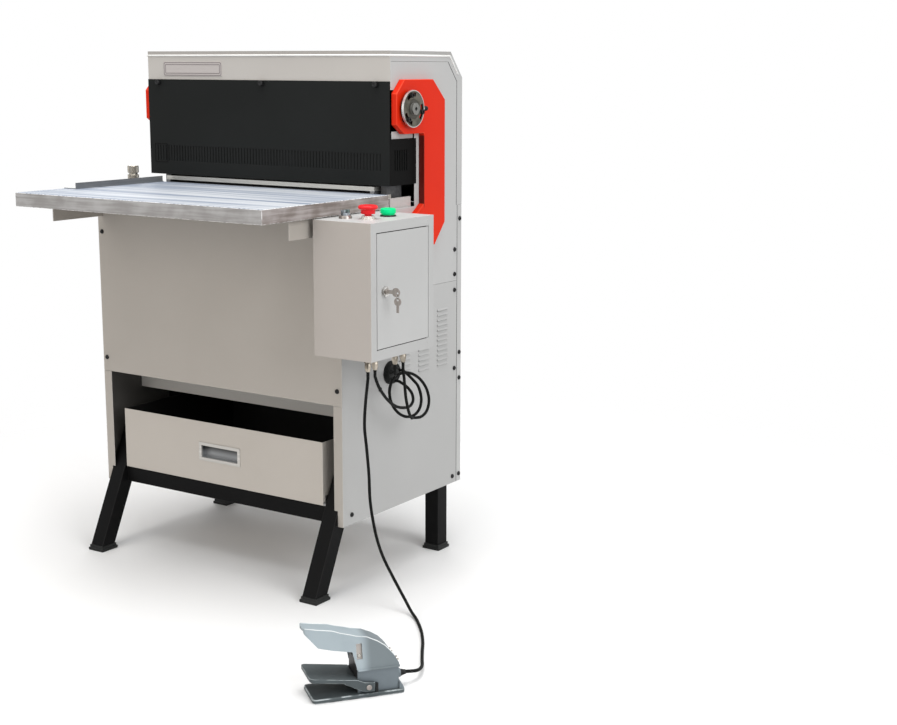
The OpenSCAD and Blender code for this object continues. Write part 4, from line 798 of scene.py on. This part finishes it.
# Cable fittings
glands = {"x": 500, "y": (-62, -36, 40, 72), "top": 588}
glandNut = (hexes((8.2, 0), (8.2, 8.4)) + rounds((7.9, 9.4), (6.6, 9.6), (6.6, 12))
            + hexes((6.7, 12.2), (6.7, 21))
            + rounds((6.4, 22), (5.9, 26), (5.0, 28.6), (4.3, 29.2), (3.3, 29.2)))
glandPlaces = [facing((glands["x"], y, glands["top"]), (0, 0, -1)) for y in glands["y"]]
turned("glandNuts", glandNut, glandPlaces, "glandMetal", "frame", ("cable_glands",), 48)
glandSeal = rounds((4.6, 28.4), (4.5, 29.6), (3.9, 30.4), (3.3, 30.4), (3.3, 28.4))
turned("glandSeals", glandSeal, glandPlaces, "rubber", "frame", (), 36, True)
grommet = {"spot": (380, 190, 501), "cables": [(184, 484), (176, 506), (200, 508)], "face": 394}
grommetRings = rounds((28, 0), (28, 2.4), (27.4, 3.2), (25.6, 3.4), (25.6, 4.6), (26.8, 5), (26.8, 6.4),
                      (25.2, 6.8), (25.2, 8), (26, 8.4), (26, 9.8), (24.4, 10.2), (24.4, 12.6), (23.6, 13.8),
                      (21.5, 14), (20.5, 12.6), (0, 12.6))
turned("grommetBody", grommetRings, [facing(grommet["spot"], (1, 0, 0))], "rubber", "frame",
       ("cable_grommet",), 72)
collarRings = rounds((6.4, -1.6), (6.2, 0.6), (4.9, 4.4), (4.1, 5), (3.3, 5), (3.3, -1.6))
collarPlaces = [facing((grommet["face"], y, z), (1, 0, 0)) for y, z in grommet["cables"]]
turned("grommetCollars", collarRings, collarPlaces, "rubber", "frame", (), 32, True)
print("fittings turned")

# Trim: plate lines, lid bead painted as a highlight, black sheets behind the slits as painted shade, throat,
# door gasket, louvre lips, and dark strips in the cover seams as painted shade
plateLines = {"edges": (-324, -131, 1190, 1223), "y": 193.5, "insets": (0.4, 5.2), "width": 1.3, "proud": 0.25,
              "corner": 4.5, "leastCorner": 1.4}


def plateLine(inset):
    outlines = []
    for less in (inset, inset + plateLines["width"]):
        corner = max(plateLines["corner"] - less * 0.5, plateLines["leastCorner"])
        flat = roundedOutline(*grown(plateLines["edges"], -less), corner)
        outlines.append([(x, plateLines["y"], z) for x, z in flat])
    return outlines, (0, -plateLines["proud"], 0)


slabs("plateLines", [plateLine(inset) for inset in plateLines["insets"]], "plateInk", "frame")

lid = {"top": 1250, "front": 195, "side": 380, "slopeY": 448, "slope": (0.643, -0.766), "cornerShift": 0.466,
       "bead": 10.5, "beadRadius": 2.3, "beadEnd": 1196}
beadSides, beadSharp = 10, 50


def lidLine(inset, low):  # the lid's side outline moved inwards: the slope's foot, and its upper corner
    along, fall = lid["slope"]
    cornerY = lid["slopeY"] - inset * lid["cornerShift"]
    drop = lid["top"] - inset - low
    return (cornerY + drop / -fall * along, low), (cornerY, lid["top"] - inset)


def beadAlong(bm, path, radius, within):  # a thin round bead, mitred at the corners
    loops = []
    path = [Vector(p) for p in path]
    for i, spot in enumerate(path):
        before = (spot - path[i - 1]).normalized() if i else None
        after = (path[i + 1] - spot).normalized() if i + 1 < len(path) else None
        way = ((before or after) + (after or before)).normalized()
        stretch = 1 / max(0.3, way.dot(after or before))
        up = Vector((0, 0, 1)) - way * way.z
        up.normalize()
        out = way.cross(up)
        level = abs(way.z) < 0.05 and before is not None and after is not None and abs(after.z) < 0.05
        wide, tall = (stretch, 1.0) if level else (1.0, stretch)
        turns = (2 * math.pi * k / beadSides for k in range(beadSides))
        ring = (spot + radius * (wide * math.cos(a) * out + tall * math.sin(a) * up) for a in turns)
        loops.append([bm.verts.new(within @ point) for point in ring])
    for first, second in zip(loops, loops[1:]):
        bridge(bm, first, second)
    for loop in (loops[0], loops[-1]):
        bm.faces.new(loop)


def lidBead():
    (endY, endZ), (cornerY, z) = lidLine(lid["bead"], lid["beadEnd"])
    side, front = lid["side"], lid["front"]
    bm = bmesh.new()
    beadAlong(bm, [(-side, endY, endZ), (-side, cornerY, z), (-side, front, z), (side, front, z),
                   (side, cornerY, z), (side, endY, endZ)], lid["beadRadius"], machine)
    return finishMesh("lidBead", bm, beadSharp)


# painted highlight: a near-white bead along the lid's fold
addPiece("lidBead", lidBead(), "beadHighlightPaint", "frame")
# painted shade: black sheets behind the cover's slits
slitShade = {"front": ((-374, 374), (195.3, 196.1), (966, 1024)),
             "ends": ((377.2, 376.4), (206, 282), (964, 1034))}
slabs("slitShadeSheets", [block(*slitShade["front"])] + bothEnds(*slitShade["ends"]), "rubber", "frame")
slitFrame = {"hole": (-361.5, -321, 972.5, 1017.5), "corner": 1.5, "y": 193, "width": 1.6, "proud": 0.5}
slitOutlines = [[(x, slitFrame["y"], z) for x, z in roundedOutline(*grown(slitFrame["hole"], more),
                                                                   slitFrame["corner"] + more)]
                for more in (slitFrame["width"], 0)]
slabs("slitFrame", [(slitOutlines, (0, -slitFrame["proud"], 0))], "blackPaint", "frame")

# in the throat: pale sheet between cover end and cheek, bar on the bed's right end, and black turned ends of
# the cover standing in for the cover's shade on the head panel
throatPlate = {"x": (375.4, 376.6), "y": (204, 290), "z": (1040, 1066)}
slabs("throatPlates", bothEnds(**throatPlate), "greyPaint", "frame")
throatRail = {"x": (367, 376), "y": (198, 282), "z": (873, 912)}
slabs("throatRail", [block(**throatRail)], "plate", "frame")
coverEndShade = {"x": (378.6, 380.2), "y": (291.5, 299.5), "z": (941.5, 1048.5)}
slabs("coverEndShadeFlanges", bothEnds(**coverEndShade), "blackPaint", "frame")

# the gasket's lip stays behind the door's swinging edge, its foot meets the box's sheet around the opening
gasket = {"outer": (-86, 133, 603, 874), "corner": 4, "lip": ((-66, 124, 621, 856), 529.2, 1.7),
          "foot": ((-80, 128, 607, 870), 530.9, 2.0)}


def gasketRing(part):
    hole, x, thick = gasket[part]
    outlines = [[(x, *spot) for spot in roundedOutline(*edges, gasket["corner"])]
                for edges in (gasket["outer"], hole)]
    return outlines, (thick, 0, 0)


slabs("doorGasket", [gasketRing("lip"), gasketRing("foot")], "rubber", "frame")

# lower lips of the pressed louvres, and dark strips painted as the shade in the seam where covers and rear
# panel meet
louvres = {"x": (378.2, 379.9), "columns": (249, 331, 413), "half": 22.4, "low": 484, "step": 12.5, "rows": 12,
           "lip": (-2.95, -1.6)}
lips = []
for y in louvres["columns"]:
    for row in range(louvres["rows"]):
        lipZ = [louvres["low"] + row * louvres["step"] + lip for lip in louvres["lip"]]
        lips += bothEnds(louvres["x"], (y - louvres["half"], y + louvres["half"]), lipZ)
slabs("louvreLips", lips, "sidePaint", "frame")
seamShade = {"x": 380, "thick": 0.12, "half": 0.9,
         "runs": [((479.75, 165), (479.75, 876.5)), ((475.5, 877.5), (475.5, 1179)),
                  ((475.5, 1179), (436.6, 1225.5))]}
seamShadeStrips = []
for start, end in seamShade["runs"]:
    a, b = Vector(start), Vector(end)
    aside = (b - a).orthogonal().normalized() * seamShade["half"]
    seamShadeStrips += [([[(side * seamShade["x"], *spot) for spot in (a + aside, b + aside, b - aside, a - aside)]],
                (side * seamShade["thick"], 0, 0)) for side in (-1, 1)]
slabs("coverSeamShade", seamShadeStrips, "rubber", "frame")
print("trim placed")

# Pedal: flange under the hood, fixings, lugs, a black apron on the housing's front as painted shade under the
# hood, and cord boot; drawn along it, across it and up
pedalFrame = machine @ Matrix.Translation(pedal["spot"]) @ Matrix.Rotation(math.radians(pedal["turn"]), 4, "Z")


def flatRing(outer, inner, corner, z, thick):
    return [[(*spot, z) for spot in roundedOutline(*edges, corner)] for edges in (outer, inner)], (0, 0, thick)


def hoodWall(z, start, mirror):  # across the pedal, along the hood's leaning left or right wall
    across = start + pedal["draft"] * (z - pedal["rim"])
    return pedal["width"] - across if mirror else across


hoodFlange = {"outer": (91.4, 177.4, 2.4, 81.6), "inner": (95, 173, 7, 77), "corner": 2.2, "z": 55.2,
              "thick": 3.2}
slabs("hoodFlange", [flatRing(**hoodFlange)], "hoodAlloy", "frame", pedalFrame)
seamStrip = {"outer": (91.8, 176.4, 7.2, 76.8), "inner": (96, 172, 11, 73), "corner": 1.6, "z": 53.6,
             "thick": 1.7}
slabs("hoodSeam", [flatRing(**seamStrip)], "rubber", "frame", pedalFrame)
pivotHead = rounds((5.4, 0), (5.4, 1.1), (4.7, 1.9)) + hexes((2.2, 1.9), (2.2, 0.8)) + rounds((0, 0.7))
pivotS, pivotZ = pedal["pivot"]
pivotPlaces = [facing((pivotS, w, pivotZ), (0, way, 0), pedalFrame)
               for w, way in ((-0.15, -1), (pedal["width"] + 0.15, 1))]
turned("pivotBolts", pivotHead, pivotPlaces, "keyMetal", "frame", count=36)
hoodEdge = {"line": [(-9, 147.8), (15, 143), (45, 138), (61, 132), (83, 126), (92, 123), (114, 119.2),
                     (135, 109), (150, 98.7), (160, 88), (167, 79.2)], "from": 4.6, "radius": 1.0, "sunk": 0.5}


def hoodEdges():  # paint worn through along the two upper edges, drawn pale as bare metal and as a painted highlight
    bm = bmesh.new()
    for mirror in (False, True):
        path = [(s, hoodWall(z, hoodEdge["from"], mirror), z - hoodEdge["sunk"]) for s, z in hoodEdge["line"]]
        beadAlong(bm, path, hoodEdge["radius"], pedalFrame)
    return finishMesh("hoodEdges", bm, beadSharp)


addPiece("hoodEdges", hoodEdges(), "wornAndHighlightAlloy", "frame")
hoodScrew = {"s": 174.2, "z": 66.4, "w": (20, 64), "axis": (0.87, 0, 0.5)}
hoodHead = hexes((4.4, -2.5), (4.4, 3)) + rounds((4, 3.8), (2.6, 3.9), (0, 3.9))
hoodPlaces = [facing((hoodScrew["s"], w, hoodScrew["z"]), hoodScrew["axis"], pedalFrame)
              for w in hoodScrew["w"]]
turned("hoodScrews", hoodHead, hoodPlaces, "nickel", "frame", count=36)

hoodSlot = {"corners": ((87, 72), (107, 72), (107, 112), (87, 112)), "from": 8.3, "thick": 1.2,
            "screw": (97, 84)}
slotS, slotZ = hoodSlot["screw"]
backs, slotPlaces = [], []
for mirror, way in ((False, 1), (True, -1)):
    corners = [(s, hoodWall(z, hoodSlot["from"], mirror), z) for s, z in hoodSlot["corners"]]
    backs.append(([corners], (0, way * hoodSlot["thick"], 0)))
    slotPlaces.append(facing((slotS, hoodWall(slotZ, hoodSlot["from"], mirror), slotZ),
                             (0, -way, pedal["draft"]), pedalFrame))
slabs("slotBrackets", backs, "keyMetal", "frame", pedalFrame)
slotHead = rounds((3.6, 0), (3.6, 1), (2.8, 2)) + hexes((1.4, 2), (1.4, 1)) + rounds((0, 0.9))
turned("slotScrews", slotHead, slotPlaces, "nickel", "frame", count=24)

housingShade = {"s": 91.9, "corners": ((9, 9.5), (75, 9.5), (70, 74), (14, 74)), "thick": 0.7}
housingShadePoints = [(housingShade["s"], *corner) for corner in housingShade["corners"]]
slabs("housingShadeApron", [([housingShadePoints], (-housingShade["thick"], 0, 0))], "blackPlastic", "frame",
      pedalFrame)
rearLug = {"outline": ((176.2, 9), (184.5, 9), (184.5, 13), (178.2, 24), (176.2, 24)), "w": ((3, 15), (69, 81))}
slabs("rearLugs", [([[(s, w0, z) for s, z in rearLug["outline"]]], (0, w1 - w0, 0)) for w0, w1 in rearLug["w"]],
      "castAlloy", "frame", pedalFrame)
lugStop = {"s": (127.4, 132), "w": ((1.5, 7.9), (76.1, 82.5)), "z": (9, 27)}
slabs("lugStops", [block(lugStop["s"], w, lugStop["z"]) for w in lugStop["w"]], "rubber", "frame",
      pedalFrame)
cordBoot = {"spot": (187.6, 42, 26)}
bootRings = rounds((7.6, 0), (7.4, 2.4), (6.3, 3), (6.8, 4), (6.4, 5.6), (5.5, 6), (5.9, 7), (5.5, 8.6),
                   (4.8, 9), (5.1, 10), (4.6, 12.4), (3.2, 12.6))
turned("cordBoot", bootRings, [facing(cordBoot["spot"], (1, 0, 0), pedalFrame)], "rubber", "frame",
       count=36)
print("pedal dressed")

plainFinishes = {
    "motorPaint": ["gear_motor"], "blackPaint": ["motor_shelf"], "bronze": ["shaft_bushes"],
    "groundSteel": ["shaft_pulley", "motor_pulley", "chip_chute", "drawer_runners"],
    "formSteel": ["press_bed", "rear_tie_beam", "ram_guides", "press_ram"],
    "toolSteel": ["punch_holder", "punch_pins"], "rubber": ["drive_belt"], "whitePlastic": ["switch_gear"],
}
for finish, members in plainFinishes.items():
    for member in members:
        nodes[member].data.materials.clear()
        nodes[member].data.materials.append(finishes[finish])
print("plain nodes finished")


# Stage: pale floor that fades into the white background, soft studio light
stage = {"floorRadius": 4.0, "fadeFrom": 0.9, "fadeTo": 2.3, "floorTone": (0.86, 0.86, 0.86),
         "ambient": 0.40, "lamps": {  # place, size, watts, tint
             "sideLamp": ((3.8, -0.9, 2.4), 2.6, 92, (0.985, 0.995, 1.0)),
             "frontLamp": ((-1.0, -4.0, 2.2), 2.4, 42, (1.0, 0.93, 0.85)),
             "topLamp": ((0.2, -0.3, 4.2), 3.0, 150, (1.0, 1.0, 0.995)),
             "backLamp": ((-2.8, 3.4, 2.8), 2.6, 55, (1.0, 0.99, 0.97))}}


def setFloor():
    bm = bmesh.new()
    bmesh.ops.create_circle(bm, cap_ends=True, segments=96, radius=stage["floorRadius"])
    mesh = bpy.data.meshes.new("floor")
    bm.to_mesh(mesh)
    bm.free()
    floor = bpy.data.objects.new("floor", mesh)
    bpy.context.scene.collection.objects.link(floor)
    material = bpy.data.materials.new("floor")
    material.use_nodes = True
    material.node_tree.nodes.clear()
    start = Val(material.node_tree)
    place = start.make("ShaderNodeTexCoord", {}, {}, "Object")
    far = place.make("ShaderNodeVectorMath", {"operation": "LENGTH"}, {0: place}, "Value")
    fade = ramp(far, stage["fadeFrom"], stage["fadeTo"])
    matte = start.make("ShaderNodeBsdfDiffuse", {}, {"Color": (*stage["floorTone"], 1)})
    clear = start.make("ShaderNodeBsdfTransparent", {}, {})
    mixed = start.make("ShaderNodeMixShader", {}, {0: fade, 1: matte, 2: clear})
    start.make("ShaderNodeOutputMaterial", {}, {"Surface": mixed})
    mesh.materials.append(material)


def setLight():
    world = bpy.data.worlds.new("studio")
    bpy.context.scene.world = world
    world.use_nodes = True
    world.node_tree.nodes.clear()
    start = Val(world.node_tree)
    rays = [start.make("ShaderNodeLightPath", {}, {}, k)
            for k in ("Is Camera Ray", "Is Glossy Ray", "Is Transmission Ray")]
    seen = rays[0].maths("MAXIMUM", rays[0].maths("MAXIMUM", rays[0], rays[1]), rays[2])
    strength = stage["ambient"] + (1 - stage["ambient"]) * seen
    sky = start.make("ShaderNodeBackground", {}, {"Color": (1, 1, 1, 1), "Strength": strength})
    start.make("ShaderNodeOutputWorld", {}, {"Surface": sky})
    aim = Vector((middleX, 0.1, 0.7))
    for name, (spot, size, watts, tint) in stage["lamps"].items():
        lamp = bpy.data.lights.new(name, "AREA")
        lamp.size, lamp.energy, lamp.color = size, watts, tint
        obj = bpy.data.objects.new(name, lamp)
        bpy.context.scene.collection.objects.link(obj)
        obj.location = spot
        obj.rotation_mode = "QUATERNION"
        obj.rotation_quaternion = (aim - Vector(spot)).to_track_quat("-Z", "Y")


setFloor()
setLight()
bpy.context.scene.view_settings.view_transform = "Standard"
print("stage set")
